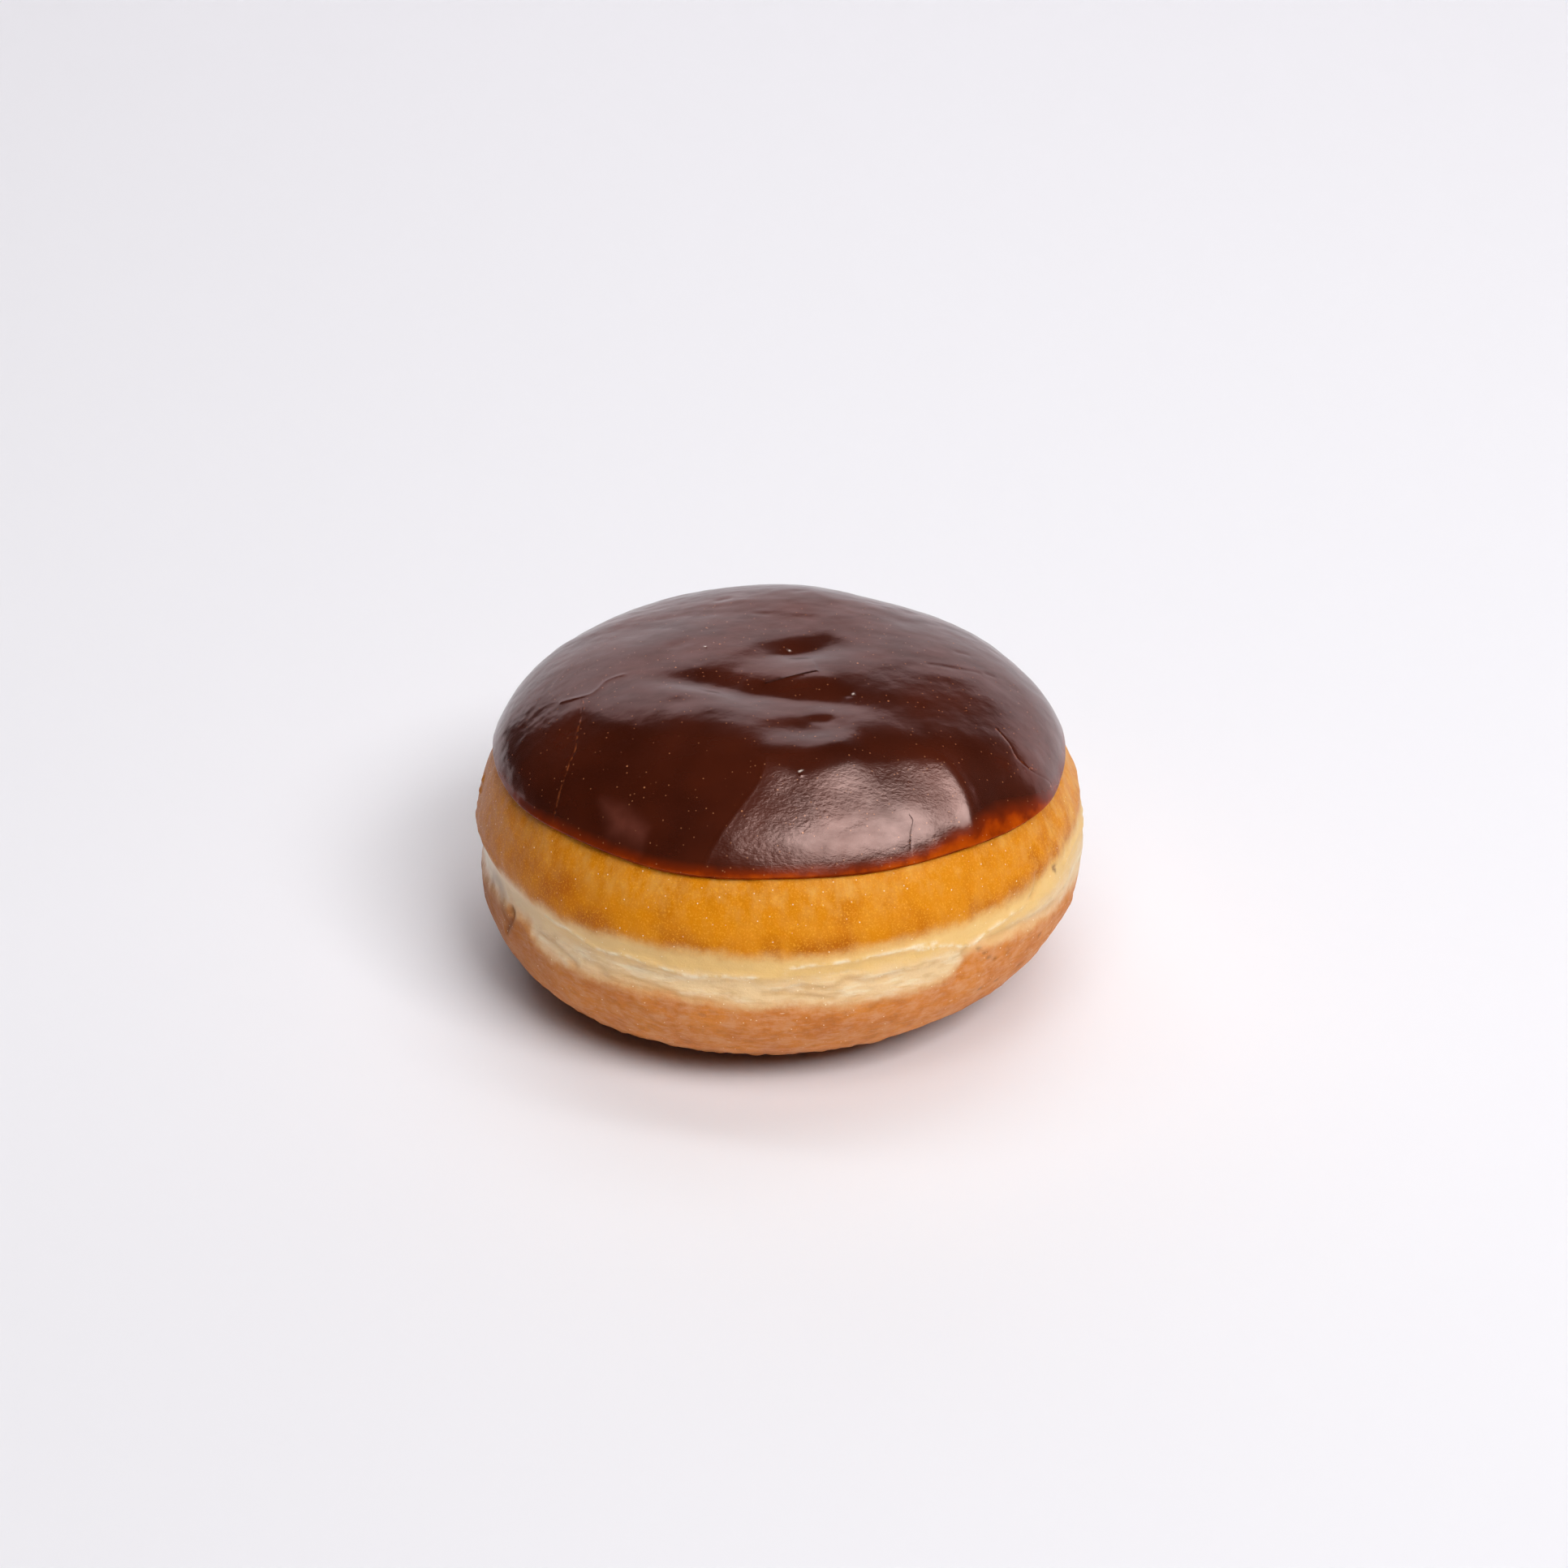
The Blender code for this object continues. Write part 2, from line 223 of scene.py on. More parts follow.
DOUGH_FOLDS = (
    *(Stroke(seam, SEAM_HALF_WIDTH, SEAM_HEIGHT) for seam in SEAMS),
    Stroke(((-46, 22.3), (-30, 21.6), (-12, 21.2), (0, 22), (12, 23.8), (24, 24.6)), 1.3, -0.3),
    Stroke(((-51.6, 19.2), (-50.3, 20.8), (-48.2, 20.7), (-44.4, 20.2), (-40, 19.1)), 0.5, -0.22),
    Stroke(((-38.2, 20.5), (-34.3, 20.3), (-26.5, 20.2), (-19.3, 19.6)), 0.45, -0.16),
    Stroke(((-34.2, 19.3), (-29.8, 19.1), (-22, 19.2), (-11.8, 19)), 0.4, -0.16),
    Stroke(((0.5, 21.2), (4.2, 21.8), (8.9, 21.5), (12.1, 22.6), (15.8, 21.9), (22.7, 22.8)), 0.45, -0.22),
    Stroke(((-3.1, 20.8), (0.5, 20.8), (5.2, 20.4), (9.6, 19.8)), 0.4, -0.16),
    Stroke(LEFT_NOTCH, 0.6, -0.5),
    Stroke(((-68, 22.5), (-62, 21.5), (-58.5, 19.5), (-61, 16.5)), 1.8, 0.35),
    Stroke(FLAP_EDGE, 0.45, -0.3),
    Stroke(((36.8, 22.6), (36.6, 21), (36, 18.4)), 1.3, 0.3),
    Stroke(((39, 22.4), (45.6, 21.8), (52.2, 21), (59.8, 20.2), (70.9, 18)), 1.2, 0.25),
    Stroke(((40.4, 23.6), (45.6, 23.6), (52.2, 23), (59.8, 22.4)), 0.6, -0.2),
    Stroke(TUCK, 0.5, -0.4),
    Stroke(((56.5, 25.6), (59.5, 24.8), (60.7, 23.8)), 1.0, 0.25),
    Stroke(((-88.5, 31.2), (-88, 30.9)), 0.45, 0.4),
    Stroke(((-88, 29.6), (-87.5, 29.3)), 0.35, 0.35),
)
SCORCH_MARKS = (
    Stroke(LEFT_NOTCH, 0.4, 0.6),
    Stroke(SQUIGGLE, 0.2, 0.7),
    *(Stroke(((azimuth, height), (azimuth + 0.4, height)), 0.3, 0.55) for azimuth, height in AMBER_DOTS),
    Stroke(((-71, 21.9), (-67.1, 22.9), (-63.2, 21.6), (-60.7, 19.5)), 1.2, 0.35),
)
AMBER_MARKS = (
    Stroke(((-58, 30.5), (-53, 31.5)), 2.2, 0.6),
    Stroke(((-47, 29.6), (-43, 31.2)), 2.2, 0.9),
    Stroke(((-38, 27.8), (-34, 28.4)), 1.7, 0.9),
    Stroke(((-19, 27.8), (-14, 27.6)), 1.4, 0.7),
    Stroke(((4, 28.2), (12, 28.4)), 1.5, 0.8),
    Stroke(((55, 31.5), (56.5, 29.5)), 1.4, 0.7),
)

# Painted light and shade on the dough: paler at the lit right and browner at the shaded left, as azimuths
# and how far that spreads
PALER_PEAK = 80.0
PALER_SPREAD = 38.0
BROWNER_PEAK = -88.0
BROWNER_SPREAD = 36.0

MERGE_GAP = 1e-6
KNEE = math.radians(60.0)

# The dough's cage: rows on the flank, the waist, the shoulder and under the icing, and its columns
CAGE_ROWS = (5, 8, 3, 3)
CAGE_COLUMNS = 72
CAGE_LEVELS = (0.012, 0.032, 0.038)
PROFILE_STEPS = 400

# The icing's own mesh: rows kept at the rim, columns of the crown's grid, cuts between them, how often
# each round of smoothing repeats, and how far at least the outer skin lies from the dough
RIM_ROWS = 5
CROWN_SPAN = 16
SKIN_CUTS = 4
SKIN_SMOOTHING = (12, 6)
SKIN_SPLIT = 0.00085

# The icing's mesh is made finer twice: how far round its cracks and grains in millimetres, and how deep
# inside the crinkled front, which the second time leaves out
FINE_MARGINS = ((0.6, -0.6), (0.3, math.inf))

# Between which heights in metres the dough's relief sets in, and how far past the waist its wrinkles do
RELIEF_FADE = (0.0, 0.003)
CRUST_FADE = (0.0, 0.002)

# How near the floor the dough is pressed flat on it
FLOOR_TOUCH = 0.0001

# Between which heights in millimetres the bumps at the foot begin, and between which they end
FOOT_BUMPS_BEGIN = (0.5, 2.0)
FOOT_BUMPS_END = (3.0, 8.0)

# From where to where in millimetres parts of the icing come in: how deep inside their outlines, how far
# from the middle, how far back, and how far below or above the icing's edge
CORE_FADE = (-1.5, 1.0)
CRINKLED_FADE = (-0.6, 1.2)
PAINTED_REFLECTION_FADE = (-1.0, 1.5)
LEATHER_FADE = (27.0, 36.0)
BACK_FADE = (-2.0, 24.0)
LIP_FADE = (-0.05, 0.15)
RIM_FADE = (0.2, 1.5)

# How fast the icing takes on the rim's look where it thins out
RIM_OF_THIN = 1.3

# Uneven relief, as the size of its swells and its height
DOUGH_SWELLS = (0.009, 0.0006)
DOUGH_DIMPLES = (0.0030, 0.0003)
FOOT_BUMPS = (0.0022, 0.0008)
WRINKLE_SIZE = 0.0011
ICING_SWELLS = (0.010, 0.00028)
ICING_RIPPLES = (0.004, 0.00006)
BACK_SWELLS = (0.006, 0.00036)
BACK_RIPPLES = (0.0028, 0.00014)
LEATHER = (0.0014, 0.0001)
CRINKLES = (0.0005, 0.000065)

# The icing's edge turns down in three steps: how far in and down each goes, as parts of the rounding
EDGE_STEPS = ((0.0, 0.4), (0.35, 0.4), (5.2, 0.4))


def linear(hex_colour):
    """An sRGB hex colour as the linear values that a shader takes."""
    channels = [int(hex_colour[start:start + 2], 16) / 255 for start in (1, 3, 5)]
    return [c / 12.92 if c <= 0.04045 else ((c + 0.055) / 1.055) ** 2.4 for c in channels]


class DoughSettings(bpy.types.PropertyGroup):
    golden: FloatVectorProperty(
        name="Golden crust",
        description="Colour of the upper crust where it fried golden",
        subtype="COLOR", size=3, min=0.0, max=1.0, default=linear("#da8408"),
    )
    amber: FloatVectorProperty(
        name="Amber crust",
        description="Colour of the upper crust where it fried darker",
        subtype="COLOR", size=3, min=0.0, max=1.0, default=linear("#bc6403"),
    )
    brown: FloatVectorProperty(
        name="Browned crust",
        description="Colour of the lower crust, which fried longer",
        subtype="COLOR", size=3, min=0.0, max=1.0, default=linear("#da873c"),
    )
    cream: FloatVectorProperty(
        name="Pale waist",
        description="Colour of the dough that floated above the oil",
        subtype="COLOR", size=3, min=0.0, max=1.0, default=linear("#eecc9b"),
    )
    wrinkle: FloatProperty(
        name="Crust wrinkles",
        description="Height of the crust's small wrinkles",
        subtype="DISTANCE", unit="LENGTH", min=0.0, max=0.001, default=0.00012,
    )


class IcingSettings(bpy.types.PropertyGroup):
    chocolate: FloatVectorProperty(
        name="Chocolate",
        description="Colour of the icing where it lies thick",
        subtype="COLOR", size=3, min=0.0, max=1.0, default=linear("#3a1307"),
    )
    # The thin edge's colour, with a painted glow of light shining through it
    edge_glow: FloatVectorProperty(
        name="Thin edge",
        description="Colour of the icing where it thins out and the dough shines through",
        subtype="COLOR", size=3, min=0.0, max=1.0, default=linear("#be4e05"),
    )
    roughness: FloatProperty(
        name="Roughness",
        description="How dull the icing's set skin is",
        subtype="FACTOR", min=0.0, max=1.0, default=0.2,
    )
    nose: FloatProperty(
        name="Edge rounding",
        description="How small or large the icing's edge turns down and in to the dough",
        subtype="DISTANCE", unit="LENGTH", min=0.00005, max=0.002, default=0.0001,
    )


class StageSettings(bpy.types.PropertyGroup):
    paper: FloatVectorProperty(
        name="Floor and backdrop",
        description="Colour of the floor and of the wall that it runs up into",
        subtype="COLOR", size=3, min=0.0, max=1.0, default=linear("#f3f1f5"),
    )
    shine_power: FloatProperty(
        name="Shine light",
        description="Power of the light that shows only in glossy surfaces, in watts",
        min=0.0, max=100.0, default=9.6,
    )
    main_power: FloatProperty(
        name="Main light",
        description="Power of the large soft light in front at the right, in watts",
        min=0.0, max=100.0, default=13.0,
    )
    top_power: FloatProperty(
        name="Top light",
        description="Power of the soft light high in front of the doughnut, in watts",
        min=0.0, max=100.0, default=4.4,
    )
    rear_power: FloatProperty(
        name="Rear light",
        description="Power of the soft light high behind the doughnut, in watts",
        min=0.0, max=100.0, default=2.3,
    )
    backdrop_power: FloatProperty(
        name="Backdrop light",
        description="Power of the light on the wall behind, in watts",
        min=0.0, max=100.0, default=4.0,
    )
    distance: FloatProperty(
        name="Camera distance",
        description="From the camera to the middle of the doughnut",
        subtype="DISTANCE", unit="LENGTH", min=0.2, max=2.0, default=0.52,
    )


def pick(piece):
    """Makes the piece the only selected object, and the active one."""
    bpy.ops.object.select_all(action="DESELECT")
    piece.select_set(True)
    bpy.context.view_layer.objects.active = piece


def start_editing(piece, chosen=None):
    """Opens the piece in edit mode, with the chosen vertices selected, or all of them."""
    pick(piece)
    mesh = piece.data
    wanted = np.ones(len(mesh.vertices), bool) if chosen is None else chosen
    mesh.vertices.foreach_set("select", wanted)
    mesh.edges.foreach_set("select", np.zeros(len(mesh.edges), bool))
    mesh.polygons.foreach_set("select", np.zeros(len(mesh.polygons), bool))
    bpy.ops.object.mode_set(mode="EDIT")
    bpy.ops.mesh.select_mode(type="VERT")
    if chosen is None:
        bpy.ops.mesh.select_all(action="SELECT")


def stop_editing():
    bpy.ops.object.mode_set(mode="OBJECT")


def points_of(piece):
    flat = np.empty(3 * len(piece.data.vertices))
    piece.data.vertices.foreach_get("co", flat)
    return flat.reshape(-1, 3)


def finish_with(piece, kind, **settings):
    """Adds a modifier with its settings and applies it."""
    pick(piece)
    modifier = piece.modifiers.new(kind, kind)
    for name, value in settings.items():
        setattr(modifier, name, value)
    bpy.ops.object.modifier_apply(modifier=modifier.name)


def smooth_by_levels(piece, levels):
    finish_with(piece, "SUBSURF", levels=levels, render_levels=levels)


def paint_weights(piece, name, weights):
    """A vertex group that holds the weights, one for each vertex."""
    group = piece.vertex_groups.new(name=name)
    for index, weight in enumerate(weights.tolist()):
        if weight > 0.0:
            group.add((index,), weight, "REPLACE")
    return group


def raise_by(piece, heights):
    """Moves each vertex along its normal by its own height, through painted weights."""
    for sign in (1.0, -1.0):
        side = np.maximum(sign * heights, 0.0)
        most = side.max()
        if most > 0.0:
            group = paint_weights(piece, "relief", side / most)
            finish_with(piece, "DISPLACE", vertex_group=group.name, strength=sign * most, mid_level=0.0)
            piece.vertex_groups.remove(piece.vertex_groups["relief"])


def roughen(piece, size, height, weights, basis="BLENDER_ORIGINAL", depth=2, stretch=(1.0, 1.0, 1.0)):
    """Uneven relief from a cloud pattern of this size, where the weights let it."""
    pattern = bpy.data.textures.new("unevenness", "CLOUDS")
    pattern.noise_scale = size
    pattern.noise_depth = depth
    pattern.noise_basis = basis
    frame_of_pattern = bpy.data.objects.new("pattern frame", None)
    frame_of_pattern.scale = stretch
    bpy.context.scene.collection.objects.link(frame_of_pattern)
    bpy.context.view_layer.update()
    group = paint_weights(piece, "uneven", weights)
    finish_with(
        piece, "DISPLACE", texture=pattern, vertex_group=group.name, strength=height, mid_level=0.5,
        texture_coords="OBJECT", texture_coords_object=frame_of_pattern,
    )
    piece.vertex_groups.remove(piece.vertex_groups["uneven"])
    bpy.data.objects.remove(frame_of_pattern)
    bpy.data.textures.remove(pattern)


def keep_notes(piece, notes):
    """Keeps numbers for each vertex, which the material reads by their names."""
    for name, values in notes.items():
        attribute = piece.data.attributes.new(name, "FLOAT", "POINT")
        attribute.data.foreach_set("value", np.asarray(values, np.float32))


def bell(distance, half_width):
    return np.exp(-((distance / half_width) ** 2))


def ramp(value, start, end):
    """0 up to start, 1 from end on, with a soft rise between."""
    share = np.clip((value - start) / (end - start), 0.0, 1.0)
    return share * share * (3 - 2 * share)


def rounded(path, steps=6):
    """The broken line made a smooth one through the same points."""
    path = np.asarray(path, float)
    ends = np.vstack([2 * path[0] - path[1], path, 2 * path[-1] - path[-2]])
    line = []
    for before, start, end, after in zip(ends, ends[1:], ends[2:], ends[3:]):
        for share in np.arange(steps) / steps:
            line.append(0.5 * (
                2 * start + (end - before) * share
                + (2 * before - 5 * start + 4 * end - after) * share ** 2
                + (3 * start - before - 3 * end + after) * share ** 3
            ))
    return np.array(line + [path[-1]])


def distance_to(places, path):
    """How far each place of the plane is from a broken line."""
    nearest = np.full(len(places), np.inf)
    for start, end in zip(path, path[1:]):
        along = end - start
        share = np.clip((places - start) @ along / (along @ along), 0.0, 1.0)
        nearest = np.minimum(nearest, np.linalg.norm(places - start - share[:, None] * along, axis=1))
    return nearest


def depth_inside(places, outline):
    """How deep each place lies inside a closed outline; outside it is below 0."""
    outline = np.asarray(outline, float)
    closed = np.vstack([outline, outline[:1]])
    inside = np.zeros(len(places), bool)
    x, y = places.T
    for (x0, y0), (x1, y1) in zip(closed, closed[1:]):
        if y0 != y1:
            crosses = ((y0 > y) != (y1 > y)) & (x < (x1 - x0) * (y - y0) / (y1 - y0) + x0)
            inside ^= crosses
    return np.where(inside, 1.0, -1.0) * distance_to(places, closed)


def around(places, path, margin):
    """Which places lie within the margin of the path's own rectangle."""
    path = np.asarray(path, float)
    return np.all((places > path.min(axis=0) - margin) & (places < path.max(axis=0) + margin), axis=1)


def relief_of(places, strokes, patches=()):
    """The sum of the strokes' and patches' relief at each place, in millimetres."""
    relief = np.zeros(len(places))
    for stroke in strokes:
        path = rounded(stroke.path)
        near = around(places, path, 3 * stroke.half_width)
        relief[near] += stroke.height * bell(distance_to(places[near], path), stroke.half_width)
    for patch in patches:
        near = around(places, patch.outline, 0.0)
        rise = patch.height + (places[near] - np.mean(patch.outline, axis=0)) @ patch.slope
        depth = depth_inside(places[near], patch.outline)
        relief[near] += np.maximum(rise, 0.0) * ramp(depth, 0.0, patch.edge)
    return relief


def seen_from_above(points):
    return points[:, :2] / MM


def unrolled(points):
    """The places on the doughnut's side, rolled out flat: millimetres round it and up."""
    round_it = np.radians(azimuths_of(points)) * HALF_WIDTH
    return np.column_stack([round_it, points[:, 2]]) / MM


def on_side(strokes):
    """The strokes given by azimuth and height, rolled out flat as the places are."""
    per_degree = math.radians(HALF_WIDTH) / MM
    return [stroke._replace(path=[(azimuth * per_degree, height) for azimuth, height in stroke.path])
            for stroke in strokes]


def sum_of_swells(swells, azimuths):
    return sum(swell.size * np.cos(swell.lobes * np.radians(azimuths - swell.peak)) for swell in swells)


def lip_share(lip, azimuths):
    """How much of the lip there is here: all of it where it breaks off, fading along its run."""
    onward = ((azimuths - lip.start + 180.0) % 360.0 - 180.0) * math.copysign(1.0, lip.run)
    return bell(onward, np.where(onward > 0, abs(lip.run), LIP_BREAK))


def waist_edges(azimuths):
    """Heights of the lower and the upper crust's edge on the waist."""
    side = np.sin(np.radians(azimuths))
    middle = WAIST_HEIGHT + WAIST_TILT * side + sum_of_swells(WAIST_SWELLS, azimuths)
    half = WAIST_HALF + WAIST_HALF_SWING * side
    low = middle - half + sum(lip.reach * lip_share(lip, azimuths) for lip in LOWER_LIPS)
    high = middle + half - sum(lip.reach * lip_share(lip, azimuths) for lip in UPPER_LIPS)
    return low, high


def azimuths_of(points):
    return np.degrees(np.arctan2(points[:, 0], -points[:, 1]))


def merged_copy(node, name):
    """The frame's own form as a loose object: one skin, of square faces where it has them."""
    pick(frame["nodes"][node])
    bpy.ops.object.duplicate()
    piece = bpy.context.active_object
    bpy.ops.object.parent_clear(type="CLEAR_KEEP_TRANSFORM")
    piece.name = name
    piece.data.name = name
    piece.data.materials.clear()
    start_editing(piece)
    bpy.ops.mesh.remove_doubles(threshold=MERGE_GAP)
    bpy.ops.mesh.tris_convert_to_quads(face_threshold=KNEE, shape_threshold=2 * KNEE)
    bpy.ops.mesh.customdata_custom_splitnormals_clear()
    stop_editing()
    return piece


def copy_of(piece, name):
    pick(piece)
    bpy.ops.object.duplicate()
    made = bpy.context.active_object
    made.name = name
    made.data.name = name
    return made


def side_profile():
    """The dough's side profile in even steps of each stretch: foot, flank, waist, shoulder, crown."""
    outward, upward = CROWN_POWERS
    inward, downward = FLANK_POWERS
    turns = np.linspace(-0.5 * math.pi, 0.5 * math.pi, PROFILE_STEPS)
    across = np.cos(turns)
    along = np.abs(np.sin(turns))
    low = turns < 0
    radii = np.where(low, FOOT_RADIUS + (HALF_WIDTH - FOOT_RADIUS) * across ** (2 / inward),
                     HALF_WIDTH * across ** (2 / outward))
    rise = DOUGH_HEIGHT - WIDEST_HEIGHT
    heights = np.where(low, WIDEST_HEIGHT * (1 - along ** (2 / downward)),
                       WIDEST_HEIGHT + rise * along ** (2 / upward))
    lengths = np.concatenate([[0.0], np.cumsum(np.hypot(np.diff(radii), np.diff(heights)))])
    knots = [0.0, *np.interp(CAGE_LEVELS, heights, lengths), lengths[-1]]
    rows = [
        start + (end - start) * row / count
        for start, end, count in zip(knots, knots[1:], CAGE_ROWS)
        for row in range(count)
    ]
    sampled = zip(np.interp(rows, lengths, radii), np.interp(rows, lengths, heights))
    return [(0.0, 0.0), (FOOT_RADIUS / 2, 0.0), *sampled, (0.0, DOUGH_HEIGHT)]


def spun_dough():
    """The dough's skin: half its profile, drawn from one point, spun round and drawn to its solid."""
    profile = side_profile()
    bpy.ops.object.select_all(action="DESELECT")
    bpy.ops.mesh.primitive_plane_add(size=FOOT_RADIUS, location=(0.0, 0.0, 0.0))
    piece = bpy.context.active_object
    piece.name = "fried_dough"
    start_editing(piece)
    bpy.ops.mesh.merge(type="CENTER")
    for (radius, height), (next_radius, next_height) in zip(profile, profile[1:]):
        step = (next_radius - radius, 0.0, next_height - height)
        bpy.ops.mesh.extrude_region_move(TRANSFORM_OT_translate={"value": step})
    bpy.ops.mesh.select_all(action="SELECT")
    bpy.ops.mesh.spin(steps=CAGE_COLUMNS, angle=2 * math.pi, center=(0, 0, 0), axis=(0, 0, 1))
    bpy.ops.mesh.select_all(action="SELECT")
    bpy.ops.mesh.remove_doubles(threshold=MERGE_GAP)
    bpy.ops.mesh.normals_make_consistent(inside=False)
    stop_editing()
    smooth_by_levels(piece, 3)
    guide = merged_copy("dough", "dough_guide")
    smooth_by_levels(guide, 2)
    finish_with(piece, "SHRINKWRAP", target=guide, wrap_method="NEAREST_SURFACEPOINT")
    bpy.data.objects.remove(guide)
    return piece


def dough_relief(piece):
    points = points_of(piece)
    azimuths = azimuths_of(points)
    low, high = waist_edges(azimuths)
    visible = ramp(points[:, 2], *RELIEF_FADE)
    past_waist = np.maximum(points[:, 2] - high, low - points[:, 2])
    crust = visible * ramp(past_waist, *CRUST_FADE)
    settings = bpy.context.scene.doughnut_dough
    raise_by(piece, visible * relief_of(unrolled(points), on_side(DOUGH_FOLDS)) * MM)
    roughen(piece, *DOUGH_SWELLS, visible)
    roughen(piece, *DOUGH_DIMPLES, visible, depth=1)
    roughen(piece, WRINKLE_SIZE, settings.wrinkle, crust)
    heights = points[:, 2] / MM
    at_foot = ramp(heights, *FOOT_BUMPS_BEGIN) * (1 - ramp(heights, *FOOT_BUMPS_END))
    roughen(piece, *FOOT_BUMPS, at_foot, depth=1)
    start_editing(piece, points_of(piece)[:, 2] < FLOOR_TOUCH)
    bpy.ops.transform.resize(value=(1, 1, 0), center_override=(0, 0, 0))
    stop_editing()


def build_dough():
    piece = spun_dough()
    dough_relief(piece)
    points = points_of(piece)
    azimuths = azimuths_of(points)
    low, high = waist_edges(azimuths)
    places = unrolled(points)
    glossy_seams = [Stroke(seam, SEAM_HALF_WIDTH, 1.0) for seam in (FRONT_SEAM, RIGHT_SEAM)]
    # The waist's narrow grooves, which the material darkens with painted shade
    creases = [fold._replace(height=1.0) for fold in DOUGH_FOLDS if fold.height < 0 and fold.half_width < 1]
    notes = {
        "above_waist": (points[:, 2] - high) / MM,
        "below_waist": (low - points[:, 2]) / MM,
        "seam": relief_of(places, on_side(glossy_seams)),
        "crease": np.minimum(relief_of(places, on_side(creases)), 1.0),
        "scorch": relief_of(places, on_side(SCORCH_MARKS)),
        "amber": relief_of(places, on_side(AMBER_MARKS)),
        # Painted light: the crust paler at the lit right. Painted shade: the crust browner at the shaded
        # left
        "paler": bell(azimuths - PALER_PEAK, PALER_SPREAD),
        "browner": bell(azimuths - BROWNER_PEAK, BROWNER_SPREAD),
    }
    keep_notes(piece, notes)
    pick(piece)
    bpy.ops.object.shade_smooth()
    piece.data.materials.append(fried_dough_material(bpy.context.scene.doughnut_dough, notes))
    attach(piece, "root")
    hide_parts("dough")


def skin_of_icing(name, outer):
    """The icing's outer or under skin alone, from the frame's own, open at the rim."""
    piece = merged_copy("icing", name)
    dough = frame["nodes"]["dough"].data
    surface = BVHTree.FromPolygons(
        [vertex.co for vertex in dough.vertices], [face.vertices for face in dough.polygons])
    gaps = np.array([surface.find_nearest(vertex.co)[3] for vertex in piece.data.vertices])
    unwanted = gaps < SKIN_SPLIT if outer else gaps > SKIN_SPLIT / 2
    start_editing(piece, unwanted)
    bpy.ops.mesh.delete(type="VERT")
    stop_editing()
    return piece


def redrawn_crown(piece):
    """Redraws the crown inside the rim's rows as an even grid, so that no pole shows in the gloss."""
    start_editing(piece, np.zeros(len(piece.data.vertices), bool))
    bpy.ops.mesh.select_non_manifold(extend=False)
    for row in range(RIM_ROWS):
        bpy.ops.mesh.select_more()
    bpy.ops.mesh.select_all(action="INVERT")
    bpy.ops.mesh.delete(type="VERT")
    bpy.ops.mesh.select_non_manifold(extend=False)
    stop_editing()
    points = points_of(piece)
    flags = np.empty(len(points), bool)
    piece.data.vertices.foreach_get("select", flags)
    middle = (points[flags, 2].max() + points[flags, 2].min()) / 2
    start_editing(piece, flags & (points[:, 2] > middle))
    bpy.ops.mesh.fill_grid(span=CROWN_SPAN)
    stop_editing()


def icing_skin():
    """The icing's outer skin in fine even squares, drawn to its solid."""
    piece = skin_of_icing("chocolate_icing", outer=True)
    guide = copy_of(piece, "icing_guide")
    smooth_by_levels(guide, 3)
    redrawn_crown(piece)
    smooth_by_levels(piece, 1)
    start_editing(piece)
    bpy.ops.mesh.subdivide(number_cuts=SKIN_CUTS)
    stop_editing()
    for repeats in SKIN_SMOOTHING:
        finish_with(piece, "SHRINKWRAP", target=guide, wrap_method="NEAREST_SURFACEPOINT")
        finish_with(piece, "SMOOTH", factor=0.5, iterations=repeats)
    bpy.data.objects.remove(guide)
    return piece


def crinkled_share(places):
    """How crinkled the icing is at each place: all over the crinkled front but for its smooth core."""
    core = ramp(depth_inside(places, SMOOTH_CORE), *CORE_FADE)
    return ramp(depth_inside(places, CRINKLED), *CRINKLED_FADE) * (1 - CORE_CALM * core)


def leathery_share(points):
    """How leathery the icing's flank is at each point: most of all at the left."""
    outward = np.linalg.norm(points[:, :2], axis=1) / MM
    return ramp(outward, *LEATHER_FADE) * bell(azimuths_of(points) + LEATHER_PEAK, LEATHER_SPREAD)


def icing_relief(piece):
    """Finer squares where the icing is cracked or crinkled, then its folds, swells and crinkles."""
    for margin, crinkle_margin in FINE_MARGINS:
        places = seen_from_above(points_of(piece))
        fine = depth_inside(places, CRINKLED) > crinkle_margin
        for path in (FLAP_CRACK, RIGHT_CRACK, LEFT_CRACK, CORE_CRACK, LEFT_TEAR, *SUGAR_GRAINS):
            fine |= distance_to(places, rounded(path)) < margin
        start_editing(piece, fine)
        bpy.ops.mesh.subdivide(number_cuts=1)
        stop_editing()
    points = points_of(piece)
    raise_by(piece, relief_of(seen_from_above(points), ICING_FOLDS, ICING_PATCHES) * MM)
    everywhere = np.ones(len(points))
    roughen(piece, *ICING_SWELLS, everywhere)
    roughen(piece, *ICING_RIPPLES, everywhere)
    back = ramp(points[:, 1] / MM, *BACK_FADE)
    roughen(piece, *BACK_SWELLS, back, stretch=(1.8, 1.0, 1.0))
    roughen(piece, *BACK_RIPPLES, back, stretch=(1.3, 1.0, 1.0))
    roughen(piece, *LEATHER, leathery_share(points))
    roughen(piece, *CRINKLES, crinkled_share(seen_from_above(points)), stretch=(1.2, 1.0, 1.0))


def curl_edge(piece, nose):
    """Turns the icing's edge down and in to the dough, as a rounded nose."""
    bpy.ops.mesh.select_all(action="DESELECT")
    bpy.ops.mesh.select_non_manifold(extend=False)
    for inward, down in EDGE_STEPS:
        bpy.ops.mesh.extrude_edges_move(TRANSFORM_OT_translate={"value": (0.0, 0.0, -down * nose)})
        narrower = 1 - inward * nose / HALF_WIDTH
        bpy.ops.transform.resize(value=(narrower, narrower, 1.0), center_override=(0, 0, 0))


